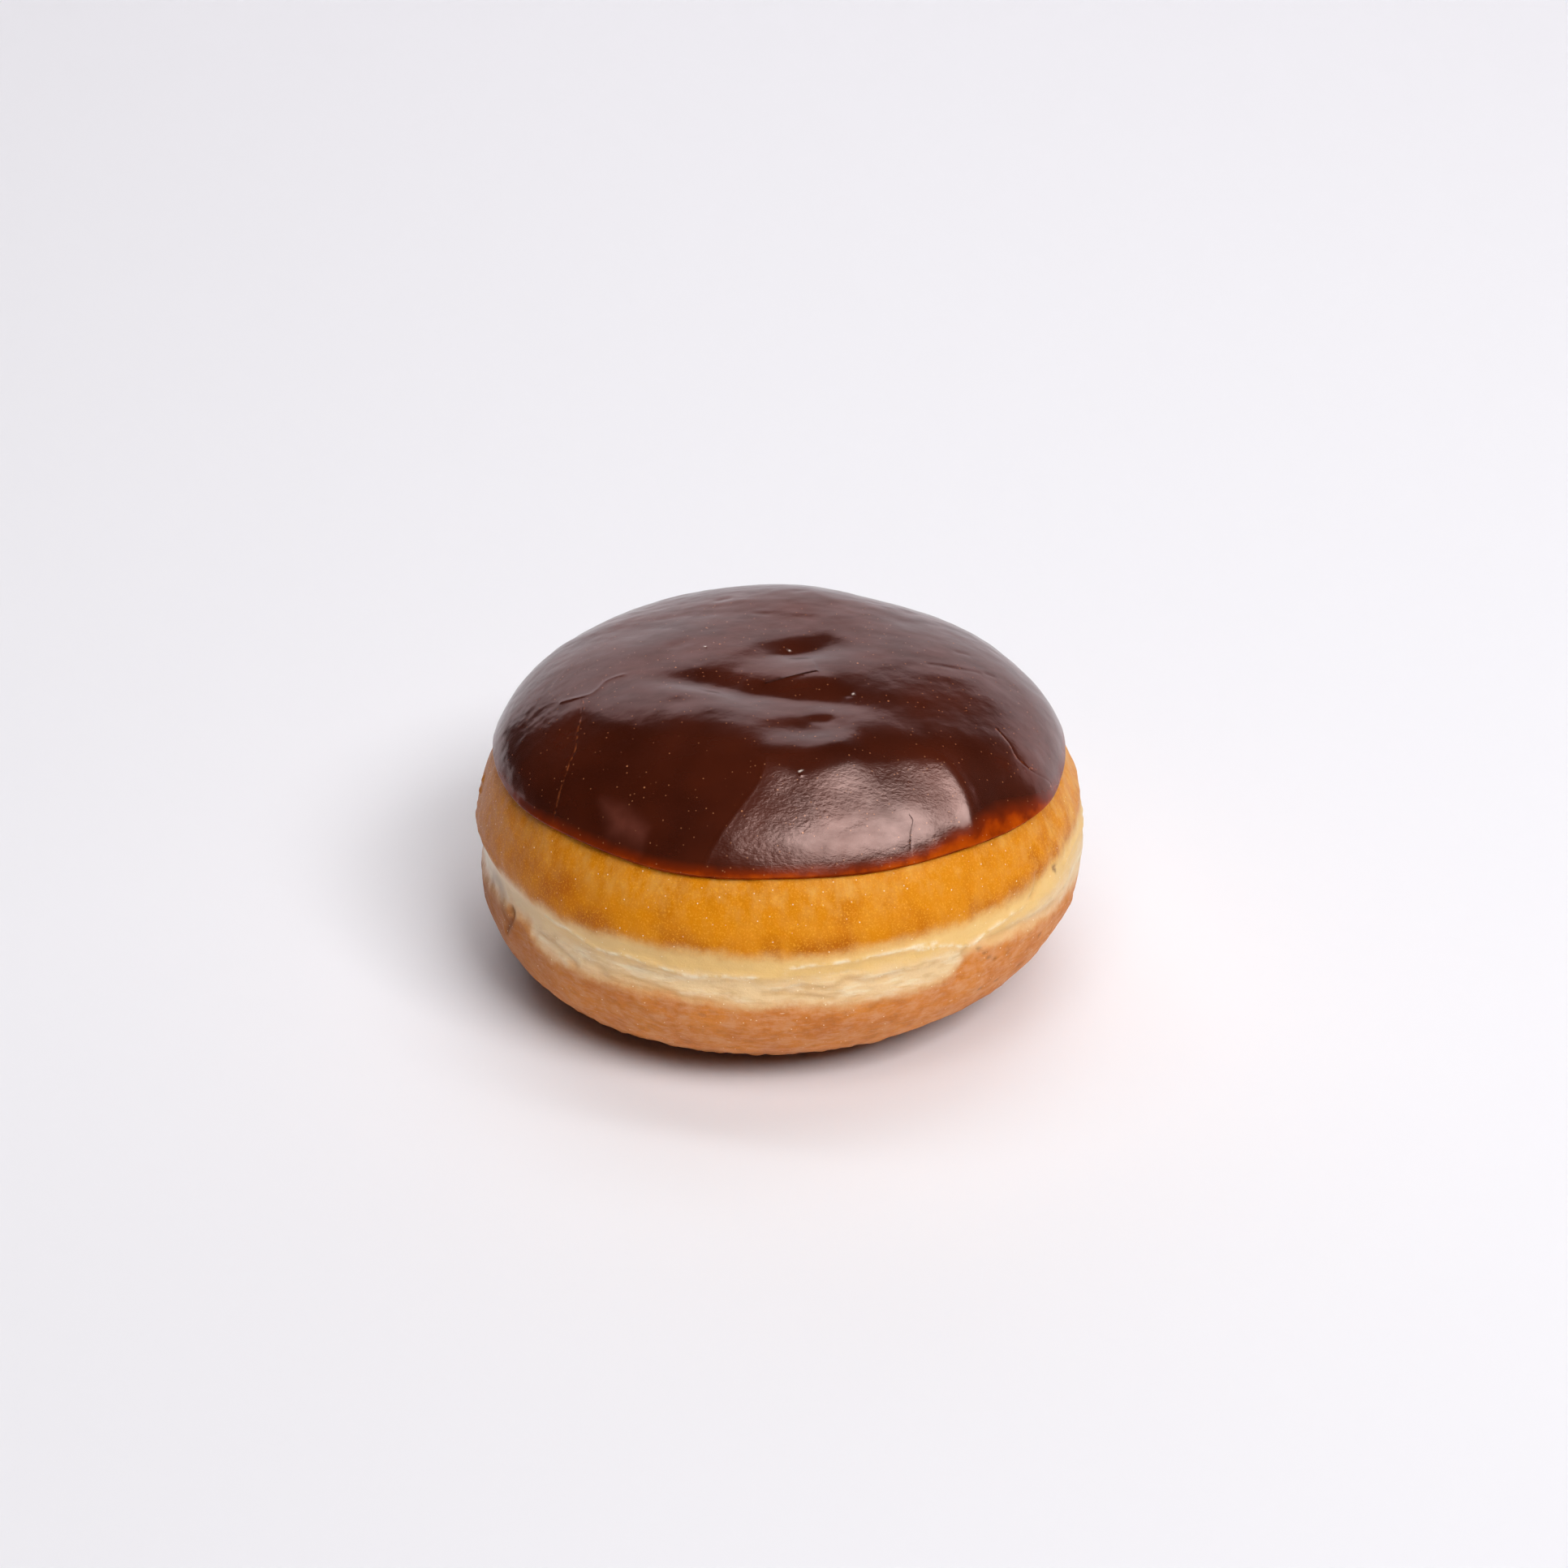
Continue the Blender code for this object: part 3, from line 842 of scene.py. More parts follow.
def build_icing():
    settings = bpy.context.scene.doughnut_icing
    piece = icing_skin()
    icing_relief(piece)
    start_editing(piece)
    curl_edge(piece, settings.nose)
    stop_editing()
    under = skin_of_icing("icing_under_skin", outer=False)
    pick(under)
    piece.select_set(True)
    bpy.context.view_layer.objects.active = piece
    bpy.ops.object.join()
    start_editing(piece, np.zeros(len(piece.data.vertices), bool))
    bpy.ops.mesh.select_non_manifold(extend=False)
    bpy.ops.mesh.bridge_edge_loops()
    stop_editing()
    points = points_of(piece)
    azimuths = azimuths_of(points)
    edge = ICING_EDGE_HEIGHT + sum_of_swells(ICING_EDGE_SWELLS, azimuths)
    # Partly the thin edge's own colour, partly a painted glow, strongest towards the lights at the front
    # right
    glow = GLOW_LEAST + (1 - GLOW_LEAST) * bell((azimuths - GLOW_PEAK + 180) % 360 - 180, GLOW_SPREAD)
    glow_reach = GLOW_REACH * (1 + bell(azimuths - WIDE_GLOW_PEAK, WIDE_GLOW_SPREAD))
    above_edge = (points[:, 2] - edge) / MM
    thin_glow = glow * (1 - ramp(above_edge, 0.0, glow_reach))
    places = seen_from_above(points)
    cracks = [Stroke(crack, CRACK_HALF_WIDTH, 1.0) for crack in (LEFT_CRACK, RIGHT_CRACK)]
    grains = [Stroke(grain, GRAIN_HALF_WIDTH, 1.0) for grain in SUGAR_GRAINS]
    dark_cracks = [Stroke(FLAP_CRACK, CRACK_HALF_WIDTH, 1.0), Stroke(CORE_CRACK, CRACK_HALF_WIDTH, 0.4)]
    notes = {
        "thin_glow": thin_glow,
        "lip": ramp(-above_edge, *LIP_FADE),
        "rim": np.maximum(1 - ramp(above_edge, *RIM_FADE), np.minimum(RIM_OF_THIN * thin_glow, 1.0)),
        "crinkled": crinkled_share(places),
        "painted_reflection": ramp(depth_inside(places, PAINTED_REFLECTION_OUTLINE), *PAINTED_REFLECTION_FADE),
        "crack": relief_of(places, cracks),
        "grain": relief_of(places, grains),
        "dark_crack": relief_of(places, dark_cracks),
    }
    keep_notes(piece, notes)
    pick(piece)
    bpy.ops.object.shade_smooth()
    piece.data.materials.append(chocolate_icing_material(settings, notes))
    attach(piece, "root")
    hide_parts("icing")


PLACE = "ShaderNodeTexCoord"
STRETCH = "ShaderNodeMapping"
AXES = "ShaderNodeSeparateXYZ"
NOISE = "ShaderNodeTexNoise"
CELLS = "ShaderNodeTexVoronoi"
NOTED = "ShaderNodeAttribute"
RANGE = "ShaderNodeMapRange"
MIX = "ShaderNodeMix"
MATH = "ShaderNodeMath"
BUMP = "ShaderNodeBump"
SURFACE = "ShaderNodeBsdfPrincipled"
OUTPUT = "ShaderNodeOutputMaterial"
MULTIPLY = {"operation": "MULTIPLY"}


def rgba(colour):
    """A colour as a socket takes it, from an sRGB hex or from linear values."""
    return (*(linear(colour) if isinstance(colour, str) else colour), 1.0)


def add_node(tree, kind, settings=None, links=None):
    """Adds a node with its settings, and its sockets' values and sources.

    A socket goes by its name, or by its place among the open ones where names repeat.
    """
    made = tree.nodes.new(kind)
    values = {}
    for name, value in (settings or {}).items():
        if isinstance(name, str) and hasattr(made, name):
            setattr(made, name, value)
        else:
            values[name] = value
    open_inputs = [socket for socket in made.inputs if socket.enabled]
    sockets = dict(enumerate(open_inputs))
    sockets.update((socket.name, socket) for socket in reversed(open_inputs))
    for name, value in values.items():
        sockets[name].default_value = value
    for name, source in (links or {}).items():
        if not isinstance(source, bpy.types.NodeSocket):
            source = next(socket for socket in source.outputs if socket.enabled)
        tree.links.new(source, sockets[name])
    return made


def new_material(name, notes=()):
    """A material with an empty tree, its places in millimetres, and the piece's notes as it reads them."""
    material = bpy.data.materials.new(name)
    material.use_nodes = True
    tree = material.node_tree
    tree.nodes.clear()
    place = add_node(tree, PLACE)
    in_millimetres = add_node(tree, STRETCH, {"Scale": (1 / MM,) * 3}, {"Vector": place.outputs["Object"]})
    noted = {note: add_node(tree, NOTED, {"attribute_name": note}).outputs["Fac"] for note in notes}
    return material, tree, in_millimetres, noted


def mottled(tree, place, size, start, end, least=0.0, most=1.0, detail=3.0, roughness=0.5):
    """How strong a cloud pattern of this size in millimetres is: least up to start, most from end on."""
    clouds = add_node(
        tree, NOISE, {"Scale": 1 / size, "Detail": detail, "Roughness": roughness}, {"Vector": place})
    return add_node(
        tree, RANGE, {"From Min": start, "From Max": end, "To Min": least, "To Max": most},
        {"Value": clouds})


def specks(tree, place, spacing, outer, inner, limit, most=1.0):
    """Small specks about this far apart in millimetres, in the cells whose random level is past the limit.

    Each fades from its inner radius to its outer one, as parts of the spacing.
    """
    cells = add_node(tree, CELLS, {"Scale": 1 / spacing}, {"Vector": place})
    small = add_node(
        tree, RANGE, {"From Min": outer, "From Max": inner, "To Max": most},
        {"Value": cells.outputs["Distance"]})
    chosen = add_node(tree, MATH, {"operation": "GREATER_THAN", 1: limit}, {0: cells.outputs["Color"]})
    return add_node(tree, MATH, MULTIPLY, {0: small, 1: chosen})


def painted(tree, colour, layers):
    """A colour with layers over it in turn, each as strong as its share: hex, linear values or a node."""
    for share, layer in layers:
        values = {"data_type": "RGBA"}
        links = {"Factor": share}
        for socket, part in (("A", colour), ("B", layer)):
            if isinstance(part, bpy.types.Node):
                links[socket] = part
            else:
                values[socket] = rgba(part)
        colour = add_node(tree, MIX, values, links)
    return colour


SCALLOP = "#b45c02"
PALE_GOLD = "#e4a44c"
SHADED_LEFT_BROWN = "#b6641e"
GRAIN = "#f2ad34"
BUTTER = "#efc580"
CREASE_SHADE = "#d2a874"
WHITISH = "#f4e0bc"
FOLD_SHADE = "#c08a4e"
PEACH = "#e0a468"
SEAM_PAINTED_GLINT = "#fff2d8"
ROSY_BROWN = "#cb783a"
PALE_ROSE = "#e0a070"
DARK_MOTTLE = "#b4682e"
SHADED_LEFT_COOL_PALE = "#fdf0e2"
DASH = "#e6b892"
PAINTED_SHADE_BROWN = "#7c3f1c"
SCORCHED = "#6a2f10"
SPECK = "#ffe9c4"


def upper_crust_colour(tree, settings, place, above, noted):
    """Gold with darker upright patches, amber scallops over the waist and sugary grains, with painted light
    making it paler at the lit right and painted shade making it browner at the shaded left.
    """
    upright = add_node(tree, STRETCH, {"Scale": (1.0, 1.0, 0.4)}, {"Vector": place})
    patchy = mottled(tree, upright, 5.5, 0.48, 0.72, most=0.7, roughness=0.55)
    near_waist = add_node(tree, RANGE, {"From Min": 5.5, "From Max": 2.6, "To Max": 0.75}, {"Value": above})
    scallops = mottled(tree, upright, 6.5, 0.48, 0.6, detail=2.5)
    streaks = mottled(tree, upright, 5.5, 0.2, 0.42, roughness=0.55)
    marked = add_node(tree, MATH, MULTIPLY, {0: noted["amber"], 1: streaks})
    scalloped = add_node(tree, MATH, MULTIPLY, {0: near_waist, 1: scallops})
    scalloped = add_node(tree, MATH, {"operation": "MAXIMUM"}, {0: scalloped, 1: marked})
    pale_spots = mottled(tree, upright, 2.6, 0.44, 0.68, detail=4.0, roughness=0.65)
    near_icing = add_node(
        tree, RANGE, {"From Min": 5.5, "From Max": 9.5, "To Min": 0.15, "To Max": 0.75}, {"Value": above})
    # Paler near the icing, and painted light at the lit right
    paler = add_node(tree, MATH, {"operation": "MAXIMUM"}, {0: near_icing, 1: noted["paler"]})
    paleness = add_node(tree, MATH, MULTIPLY, {0: pale_spots, 1: paler})
    # Painted shade: browner at the shaded left
    browner = add_node(tree, MATH, {"operation": "MULTIPLY", 1: 0.8}, {0: noted["browner"]})
    grains = mottled(tree, place, 0.28, 0.52, 0.74, most=0.75, detail=2.0, roughness=0.7)
    return painted(tree, settings.golden, (
        (patchy, settings.amber), (scalloped, SCALLOP), (paleness, PALE_GOLD), (browner, SHADED_LEFT_BROWN),
        (grains, GRAIN),
    ))


def waist_colour(tree, settings, place, above, below, noted):
    """Pale skin that never touched the oil: butter yellow above the seam, whiter and creased below, with
    painted shade in its creases and folds, a painted glint along the seam and a cooler white painted at the
    shaded left.
    """
    level = add_node(tree, STRETCH, {"Scale": (0.28, 0.28, 1.0)}, {"Vector": place})
    creased = mottled(tree, level, 1.0, 0.5, 0.7, most=0.6, detail=4.0, roughness=0.6)
    under_seam = add_node(tree, RANGE, {"From Min": -1.2, "From Max": -3.2}, {"Value": above})
    puffed = mottled(tree, level, 1.6, 0.5, 0.66, most=0.8, roughness=0.6)
    white = add_node(tree, MATH, MULTIPLY, {0: puffed, 1: under_seam})
    # Painted shade tone: the waist a cooler white at the shaded left
    cool = add_node(tree, MATH, {"operation": "MULTIPLY", 1: 0.8}, {0: noted["browner"]})
    # Painted shade in the fine creases below the seam
    shade = add_node(tree, MATH, MULTIPLY, {0: creased, 1: under_seam})
    # Painted shade in the waist's folds
    fold = add_node(tree, MATH, {"operation": "MULTIPLY", 1: 0.4}, {0: noted["crease"]})
    near_crust = add_node(tree, RANGE, {"From Min": -3.6, "From Max": -1.4, "To Max": 0.9}, {"Value": below})
    # Painted glint along the glossy seam, broken up by a cloud pattern
    lit = mottled(tree, place, 2.2, 0.42, 0.62, most=0.75, roughness=0.6)
    narrow = add_node(tree, MATH, {"operation": "POWER", 1: 2.0}, {0: noted["seam"]})
    glint = add_node(tree, MATH, MULTIPLY, {0: narrow, 1: lit})
    return painted(tree, BUTTER, (
        (under_seam, settings.cream), (white, WHITISH), (cool, SHADED_LEFT_COOL_PALE), (shade, CREASE_SHADE),
        (fold, FOLD_SHADE), (near_crust, PEACH), (glint, SEAM_PAINTED_GLINT),
    ))


def lower_crust_colour(tree, settings, place, noted):
    """The browned base, mottled and scratched, with short whitish dashes, painted shade darkening its foot
    near the floor and painted shade browning its shaded left.
    """
    slanted = add_node(
        tree, STRETCH, {"Rotation": (0.0, math.radians(-25.0), 0.0), "Scale": (0.3, 0.3, 1.0)},
        {"Vector": place})
    blotches = mottled(tree, place, 6.0, 0.35, 0.68)
    scratches = mottled(tree, slanted, 0.6, 0.48, 0.76, most=0.5, roughness=0.7)
    pale_mottle = mottled(tree, place, 2.4, 0.48, 0.66, most=0.65, detail=4.0, roughness=0.65)
    dark_mottle = mottled(tree, place, 2.4, 0.46, 0.32, most=0.5, detail=4.0, roughness=0.65)
    dashes = specks(tree, slanted, 0.8, 0.17, 0.08, 0.8)
    height = add_node(tree, AXES, None, {"Vector": place}).outputs["Z"]
    # Painted shade: darker towards the floor, where the doughnut sits in its own shadow
    foot = add_node(tree, RANGE, {"From Min": 8.0, "From Max": 1.0, "To Max": 0.9}, {"Value": height})
    # Painted shade: browner at the shaded left
    browner = add_node(tree, MATH, {"operation": "MULTIPLY", 1: 0.7}, {0: noted["browner"]})
    return painted(tree, settings.brown, (
        (blotches, ROSY_BROWN), (scratches, DASH), (pale_mottle, PALE_ROSE), (dark_mottle, DARK_MOTTLE),
        (dashes, DASH), (foot, PAINTED_SHADE_BROWN), (browner, PAINTED_SHADE_BROWN),
    ))


def fried_dough_material(settings, notes):
    """Crust with the soft shine of frying fat, mottled gold above and matt brown below a pale waist."""
    material, tree, place, noted = new_material("fried dough", notes)
    wander = add_node(tree, NOISE, {"Scale": 1 / 3.2, "Detail": 5.0, "Roughness": 0.68}, {"Vector": place})
    above = add_node(
        tree, MATH, {"operation": "MULTIPLY_ADD", 1: 3.0}, {0: wander, 2: noted["above_waist"]})
    below = add_node(
        tree, MATH, {"operation": "MULTIPLY_ADD", 1: -3.2}, {0: wander, 2: noted["below_waist"]})
    upper, lower = (
        add_node(
            tree, RANGE, {"interpolation_type": "SMOOTHSTEP", "From Min": start, "From Max": end},
            {"Value": height})
        for height, start, end in ((above, 0.2, 3.2), (below, -2.8, -0.5))
    )
    skin = waist_colour(tree, settings, place, above, below, noted)
    colour = painted(tree, skin, (
        (upper, upper_crust_colour(tree, settings, place, above, noted)),
        (lower, lower_crust_colour(tree, settings, place, noted)),
        (specks(tree, place, 0.9, 0.13, 0.07, 0.62), SPECK),
        (noted["scorch"], SCORCHED),
    ))
    dull = add_node(tree, MIX, {"A": 0.42, "B": 0.62}, {"Factor": lower})
    roughness = add_node(tree, MIX, {"B": 0.2}, {"Factor": noted["seam"], "A": dull})
    grain = add_node(tree, NOISE, {"Scale": 1 / 0.35, "Detail": 3.0, "Roughness": 0.7}, {"Vector": place})
    grained = add_node(tree, BUMP, {"Distance": 0.00007}, {"Height": grain})
    pitted = add_node(tree, BUMP, {"Distance": 0.00012}, {"Height": wander, "Normal": grained})
    level = add_node(tree, STRETCH, {"Scale": (0.28, 0.28, 1.0)}, {"Vector": place})
    creases = add_node(tree, NOISE, {"Scale": 1 / 1.0, "Detail": 4.0, "Roughness": 0.6}, {"Vector": level})
    bare = add_node(tree, MATH, {"operation": "SUBTRACT", 0: 1.0}, {1: upper})
    creasing = add_node(tree, MATH, MULTIPLY, {0: creases, 1: bare})
    relief = add_node(tree, BUMP, {"Distance": 0.0002}, {"Height": creasing, "Normal": pitted})
    shader = add_node(
        tree, SURFACE,
        {"IOR": 1.45, "Specular IOR Level": 0.25, "Specular Tint": (1.0, 0.66, 0.32, 1.0),
         "Subsurface Weight": 0.12, "Subsurface Radius": (1.0, 0.5, 0.25), "Subsurface Scale": 0.0015},
        {"Base Color": colour, "Roughness": roughness, "Normal": relief})
    add_node(tree, OUTPUT, None, {"Surface": shader})
    return material


THICK_TINT = "#4a1b0c"
THIN_TINT = "#842a04"
LIP_PAINTED_LIGHT = "#e07c1c"
PAINTED_REFLECTION_TONE = "#6c382c"
ICING_SPECK = "#bc7c54"
SUGAR = "#f6e6da"
CRACK_LIGHT = "#c06a3c"
CRACK_DARK = "#1a0703"

# How glossy the icing is clear of its rim and on it. The level stays at half or less with a high IOR,
# which reflects as much as icing at 1.52 with a level of 0.9
CLEAR_GLOSS = 0.5
RIM_GLOSS = 0.035
ICING_IOR = 1.78
CRINKLED_ROUGHER = 0.12


def chocolate_icing_material(settings, notes):
    """Set icing: dark, glossy and faintly uneven, red where it thins out with a painted glow there and
    painted light on its lip, a painted reflection on its left flank, and a crinkled front.
    """
    material, tree, place, noted = new_material("chocolate icing", notes)
    tint = mottled(tree, place, 11.0, 0.35, 0.7, detail=2.0)
    uneven = add_node(tree, NOISE, {"Scale": 1 / 3.0, "Detail": 3.0}, {"Vector": place})
    uneven_thin = mottled(tree, place, 3.0, 0.32, 0.68, least=0.6, most=1.2)
    # The thin edge's orange: partly its own colour, partly a painted glow
    thin_glow = add_node(tree, MATH, MULTIPLY, {0: noted["thin_glow"], 1: uneven_thin})
    half_thin = add_node(tree, RANGE, {"From Min": 0.05, "From Max": 0.6}, {"Value": thin_glow})
    very_thin = add_node(tree, RANGE, {"From Min": 0.45, "From Max": 1.0}, {"Value": thin_glow})
    # Painted light on the turned-down lip under the edge, which lies in shade
    lip = add_node(tree, MATH, MULTIPLY, {0: noted["lip"], 1: half_thin})
    # Painted reflection: a faint lighter patch on the left flank
    reflection_painted = add_node(tree, MATH, MULTIPLY, {0: noted["painted_reflection"], 1: uneven})
    fading = mottled(tree, place, 1.2, 0.46, 0.6, most=0.42, detail=2.0)
    light_crack = add_node(tree, MATH, MULTIPLY, {0: noted["crack"], 1: fading})
    colour = painted(tree, settings.chocolate, (
        (tint, THICK_TINT), (half_thin, THIN_TINT), (very_thin, settings.edge_glow), (lip, LIP_PAINTED_LIGHT),
        (reflection_painted, PAINTED_REFLECTION_TONE),
        (specks(tree, place, 0.9, 0.15, 0.075, 0.5, 0.55), ICING_SPECK),
        (specks(tree, place, 3.2, 0.055, 0.0275, 0.4, 0.9), ICING_SPECK),
        (light_crack, CRACK_LIGHT), (noted["dark_crack"], CRACK_DARK), (noted["grain"], SUGAR),
    ))
    crinkled = noted["crinkled"]
    roughness = add_node(
        tree, RANGE, {"To Min": settings.roughness, "To Max": settings.roughness + CRINKLED_ROUGHER},
        {"Value": crinkled})
    clear_of_rim = add_node(
        tree, RANGE, {"To Min": CLEAR_GLOSS, "To Max": RIM_GLOSS}, {"Value": noted["rim"]})
    wide = add_node(tree, STRETCH, {"Scale": (0.55, 1.0, 1.0)}, {"Vector": place})
    smeared = mottled(tree, wide, 3.6, 0.34, 0.66, least=0.68, most=1.26, roughness=0.6)
    gloss = add_node(tree, MATH, MULTIPLY, {0: clear_of_rim, 1: smeared})
    peel = add_node(tree, NOISE, {"Scale": 1 / 1.7, "Detail": 2.0}, {"Vector": place})
    peeled = add_node(tree, BUMP, {"Distance": 0.00003}, {"Height": peel})
    brushed = add_node(tree, STRETCH, {"Scale": (0.6, 1.0, 1.0)}, {"Vector": place})
    wrinkles = add_node(
        tree, NOISE, {"Scale": 1 / 0.26, "Detail": 2.0, "Roughness": 0.6}, {"Vector": brushed})
    wrinkled = add_node(tree, MATH, MULTIPLY, {0: wrinkles, 1: crinkled})
    relief = add_node(tree, BUMP, {"Distance": 0.00005}, {"Height": wrinkled, "Normal": peeled})
    shader = add_node(
        tree, SURFACE, {"IOR": ICING_IOR, "Specular Tint": (1.0, 0.48, 0.43, 1.0)},
        {"Base Color": colour, "Roughness": roughness, "Specular IOR Level": gloss, "Normal": relief})
    add_node(tree, OUTPUT, None, {"Surface": shader})
    return material


PAPER_FRONT = "#eeecf0"
PAPER_FADE = (10.0, -170.0)


def paper_material(settings):
    """Matt paper, almost white, a little greyer towards the front, where less light falls on the floor."""
    material, tree, place, _ = new_material("matt paper")
    depth = add_node(tree, AXES, None, {"Vector": place}).outputs["Y"]
    near, far = PAPER_FADE
    front = add_node(
        tree, RANGE, {"interpolation_type": "SMOOTHSTEP", "From Min": near, "From Max": far},
        {"Value": depth})
    colour = painted(tree, settings.paper, ((front, PAPER_FRONT),))
    shader = add_node(
        tree, SURFACE, {"Roughness": 0.9, "IOR": 1.45, "Specular IOR Level": 0.2},
        {"Base Color": colour})
    add_node(tree, OUTPUT, None, {"Surface": shader})
    return material


def direction(azimuth, elevation):
    turn = math.radians(azimuth)
    rise = math.radians(elevation)
    return Vector((math.sin(turn) * math.cos(rise), -math.cos(turn) * math.cos(rise), math.sin(rise)))


TARGET = Vector((0.00055, 0.0, 0.0295))
CAMERA_ELEVATION = 29.0
LENS = 78.8
SENSOR = 36.0


def add_camera(settings):
    back = direction(0.0, CAMERA_ELEVATION)
    bpy.ops.object.camera_add(location=TARGET + back * settings.distance)
    camera = bpy.context.active_object
    camera.rotation_euler = back.to_track_quat("Z", "Y").to_euler()
    camera.data.lens = LENS
    camera.data.sensor_width = SENSOR
    camera.data.clip_start = 0.01
    bpy.context.scene.camera = camera


def add_soft_light(name, place, target, size, power, in_gloss=True, on_matt=True, colour="#ffffff"):
    """A rectangular soft light at a place, which faces its target."""
    away = Vector(place) - Vector(target)
    bpy.ops.object.light_add(type="AREA", location=place, rotation=away.to_track_quat("Z", "Y").to_euler())
    light = bpy.context.active_object
    light.name = name
    light.data.shape = "RECTANGLE"
    light.data.size, light.data.size_y = size
    light.data.energy = power
    light.data.color = linear(colour)
    light.visible_camera = False
    light.visible_glossy = in_gloss
    light.visible_diffuse = on_matt


# The lights' directions from the doughnut, as azimuth and elevation, their distances and their sizes
SHINE_DIRECTION = (42.0, 47.0)
SHINE_DISTANCE = 0.7
SHINE_SIZE = (0.78, 0.46)
SHINE_COLOUR = "#d6fdff"
MAIN_DIRECTION = (33.0, 45.0)
MAIN_SIZE = (0.75, 0.45)
TOP_DIRECTION = (-5.0, 60.0)
REAR_DIRECTION = (160.0, 65.0)
FILL_SIZE = (0.8, 0.6)
ROOM_DISTANCE = 1.35
BACKDROP_LIGHT = (0.0, 0.2, 1.0)
BACKDROP_MIDDLE = (0.2, 0.9, 0.3)
BACKDROP_SIZE = (1.2, 0.3)
ROOM_COLOUR = "#e8e4f2"
ROOM_STRENGTH = 0.02

# The floor's radius with its bend, the heights of its wall at the back, right and front, how the back
# leans down to one side, and the azimuths between which each part of the wall stands
COVE_RADIUS = 1.0
COVE_BEND = 0.3
COVE_STEPS = 12
COVE_COLUMNS = 128
COVE_BACK = 0.72
COVE_RIGHT = 0.49
COVE_FRONT = 0.34
COVE_LEAN = math.radians(-25.0)
RIGHT_WALL_FROM = 112.0
BACK_WALL_FROM = 135.0
BACK_WALL_TO = -141.0


def build_cove(settings):
    """A round floor that bends up into a wall, high behind the doughnut and low in front of it."""
    bpy.ops.object.select_all(action="DESELECT")
    bpy.ops.mesh.primitive_circle_add(
        vertices=COVE_COLUMNS, radius=COVE_RADIUS - COVE_BEND, fill_type="NGON", location=(0, 0, 0))
    cove = bpy.context.active_object
    cove.name = "studio_floor"
    start_editing(cove)
    bpy.ops.mesh.delete(type="ONLY_FACE")
    bpy.ops.mesh.select_all(action="SELECT")
    radius = COVE_RADIUS - COVE_BEND
    height = 0.0
    for step in range(1, COVE_STEPS + 1):
        turn = 0.5 * math.pi * step / COVE_STEPS
        next_radius = COVE_RADIUS - COVE_BEND + COVE_BEND * math.sin(turn)
        next_height = COVE_BEND * (1 - math.cos(turn))
        bpy.ops.mesh.extrude_edges_move(
            TRANSFORM_OT_translate={"value": (0.0, 0.0, next_height - height)})
        share = next_radius / radius
        bpy.ops.transform.resize(value=(share, share, 1.0), center_override=(0, 0, 0))
        radius = next_radius
        height = next_height
    bpy.ops.mesh.extrude_edges_move(TRANSFORM_OT_translate={"value": (0.0, 0.0, COVE_FRONT - height)})
    stop_editing()
    points = points_of(cove)
    azimuths = azimuths_of(points)
    top = points[:, 2] > COVE_FRONT - MM
    behind = (azimuths > BACK_WALL_FROM) | (azimuths < BACK_WALL_TO)
    right = (azimuths > RIGHT_WALL_FROM) & ~behind
    start_editing(cove, top & behind)
    bpy.ops.transform.translate(value=(0.0, 0.0, COVE_BACK - COVE_FRONT))
    bpy.ops.transform.rotate(value=COVE_LEAN, orient_axis="Y", center_override=(0.0, 0.0, COVE_BACK))
    stop_editing()
    start_editing(cove, top & right)
    bpy.ops.transform.translate(value=(0.0, 0.0, COVE_RIGHT - COVE_FRONT))
    stop_editing()
    start_editing(cove, points[:, 2] < MM)
    bpy.ops.mesh.edge_face_add()
    bpy.ops.mesh.select_all(action="SELECT")
    bpy.ops.mesh.normals_make_consistent(inside=True)
    stop_editing()
    bpy.ops.object.shade_smooth()
    cove.data.materials.append(paper_material(settings))
    start_editing(cove, ~behind & ~right & (points[:, 2] > MM))
    bpy.ops.mesh.separate(type="SELECTED")
    stop_editing()
    side_wall = next(piece for piece in bpy.context.selected_objects if piece is not cove)
    side_wall.name = "studio_side_wall"
    side_wall.visible_glossy = False
    side_wall.visible_diffuse = False


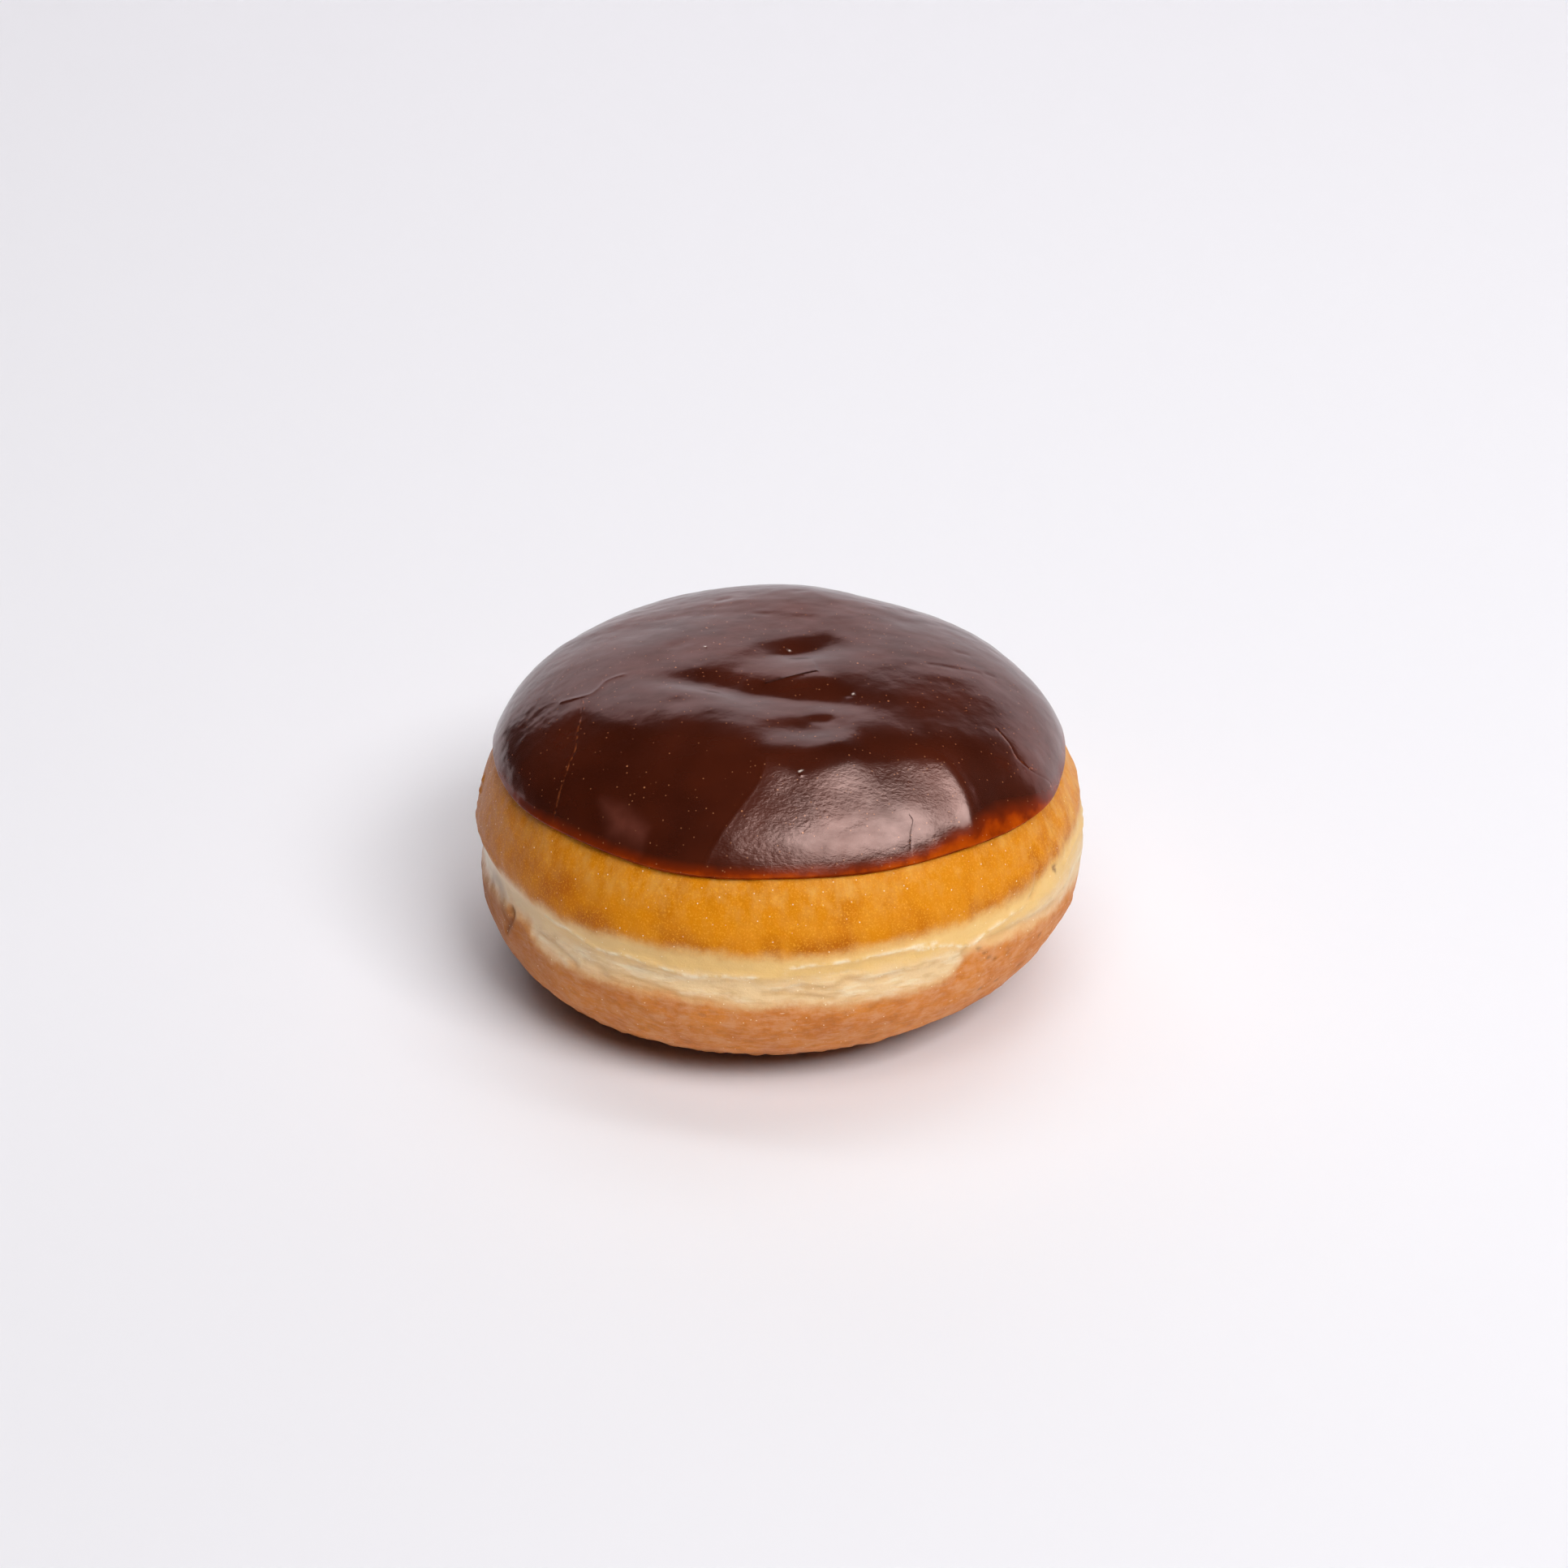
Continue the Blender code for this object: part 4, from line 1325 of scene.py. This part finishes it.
def build_stage():
    settings = bpy.context.scene.doughnut_stage
    build_cove(settings)
    shine_place = TARGET + direction(*SHINE_DIRECTION) * SHINE_DISTANCE
    add_soft_light(
        "shine light", shine_place, TARGET, SHINE_SIZE, settings.shine_power, on_matt=False,
        colour=SHINE_COLOUR)
    matt_lights = (
        ("main light", MAIN_DIRECTION, MAIN_SIZE, settings.main_power),
        ("top light", TOP_DIRECTION, FILL_SIZE, settings.top_power),
        ("rear light", REAR_DIRECTION, FILL_SIZE, settings.rear_power),
    )
    for name, bearing, size, power in matt_lights:
        place = TARGET + direction(*bearing) * ROOM_DISTANCE
        add_soft_light(name, place, TARGET, size, power, in_gloss=False)
    add_soft_light(
        "backdrop light", BACKDROP_LIGHT, BACKDROP_MIDDLE, BACKDROP_SIZE, settings.backdrop_power,
        in_gloss=False)
    world = bpy.data.worlds.new("dim room")
    world.use_nodes = True
    background = world.node_tree.nodes["Background"].inputs
    background["Color"].default_value = rgba(ROOM_COLOUR)
    background["Strength"].default_value = ROOM_STRENGTH
    bpy.context.scene.world = world
    bpy.context.scene.view_settings.view_transform = "Standard"
    add_camera(settings)


class DOUGHNUT_OT_dough(bpy.types.Operator):
    """Models the fried dough over its solid"""

    bl_idname = "doughnut.dough"
    bl_label = "Fried dough"

    def execute(self, context):
        build_dough()
        return {"FINISHED"}


class DOUGHNUT_OT_icing(bpy.types.Operator):
    """Models the chocolate icing over its solid"""

    bl_idname = "doughnut.icing"
    bl_label = "Chocolate icing"

    def execute(self, context):
        build_icing()
        return {"FINISHED"}


class DOUGHNUT_OT_stage(bpy.types.Operator):
    """Sets up the floor, the soft lights and the camera"""

    bl_idname = "doughnut.stage"
    bl_label = "Stage"

    def execute(self, context):
        build_stage()
        return {"FINISHED"}


class DOUGHNUT_PT_sidebar(bpy.types.Panel):
    bl_label = "Iced doughnut"
    bl_space_type = "VIEW_3D"
    bl_region_type = "UI"
    bl_category = "Doughnut"

    def draw(self, context):
        groups = (
            ("doughnut.dough", context.scene.doughnut_dough),
            ("doughnut.icing", context.scene.doughnut_icing),
            ("doughnut.stage", context.scene.doughnut_stage),
        )
        for operator, settings in groups:
            box = self.layout.box()
            for name in settings.__annotations__:
                box.prop(settings, name)
            box.operator(operator)


CLASSES = (
    DoughSettings, IcingSettings, StageSettings,
    DOUGHNUT_OT_dough, DOUGHNUT_OT_icing, DOUGHNUT_OT_stage, DOUGHNUT_PT_sidebar,
)


def register():
    for entry in CLASSES:
        bpy.utils.register_class(entry)
    bpy.types.Scene.doughnut_dough = PointerProperty(type=DoughSettings)
    bpy.types.Scene.doughnut_icing = PointerProperty(type=IcingSettings)
    bpy.types.Scene.doughnut_stage = PointerProperty(type=StageSettings)


def unregister():
    del bpy.types.Scene.doughnut_stage
    del bpy.types.Scene.doughnut_icing
    del bpy.types.Scene.doughnut_dough
    for entry in reversed(CLASSES):
        bpy.utils.unregister_class(entry)


def main():
    register()
    bpy.ops.doughnut.dough()
    bpy.ops.doughnut.icing()
    bpy.ops.doughnut.stage()


if __name__ == "__main__":
    main()
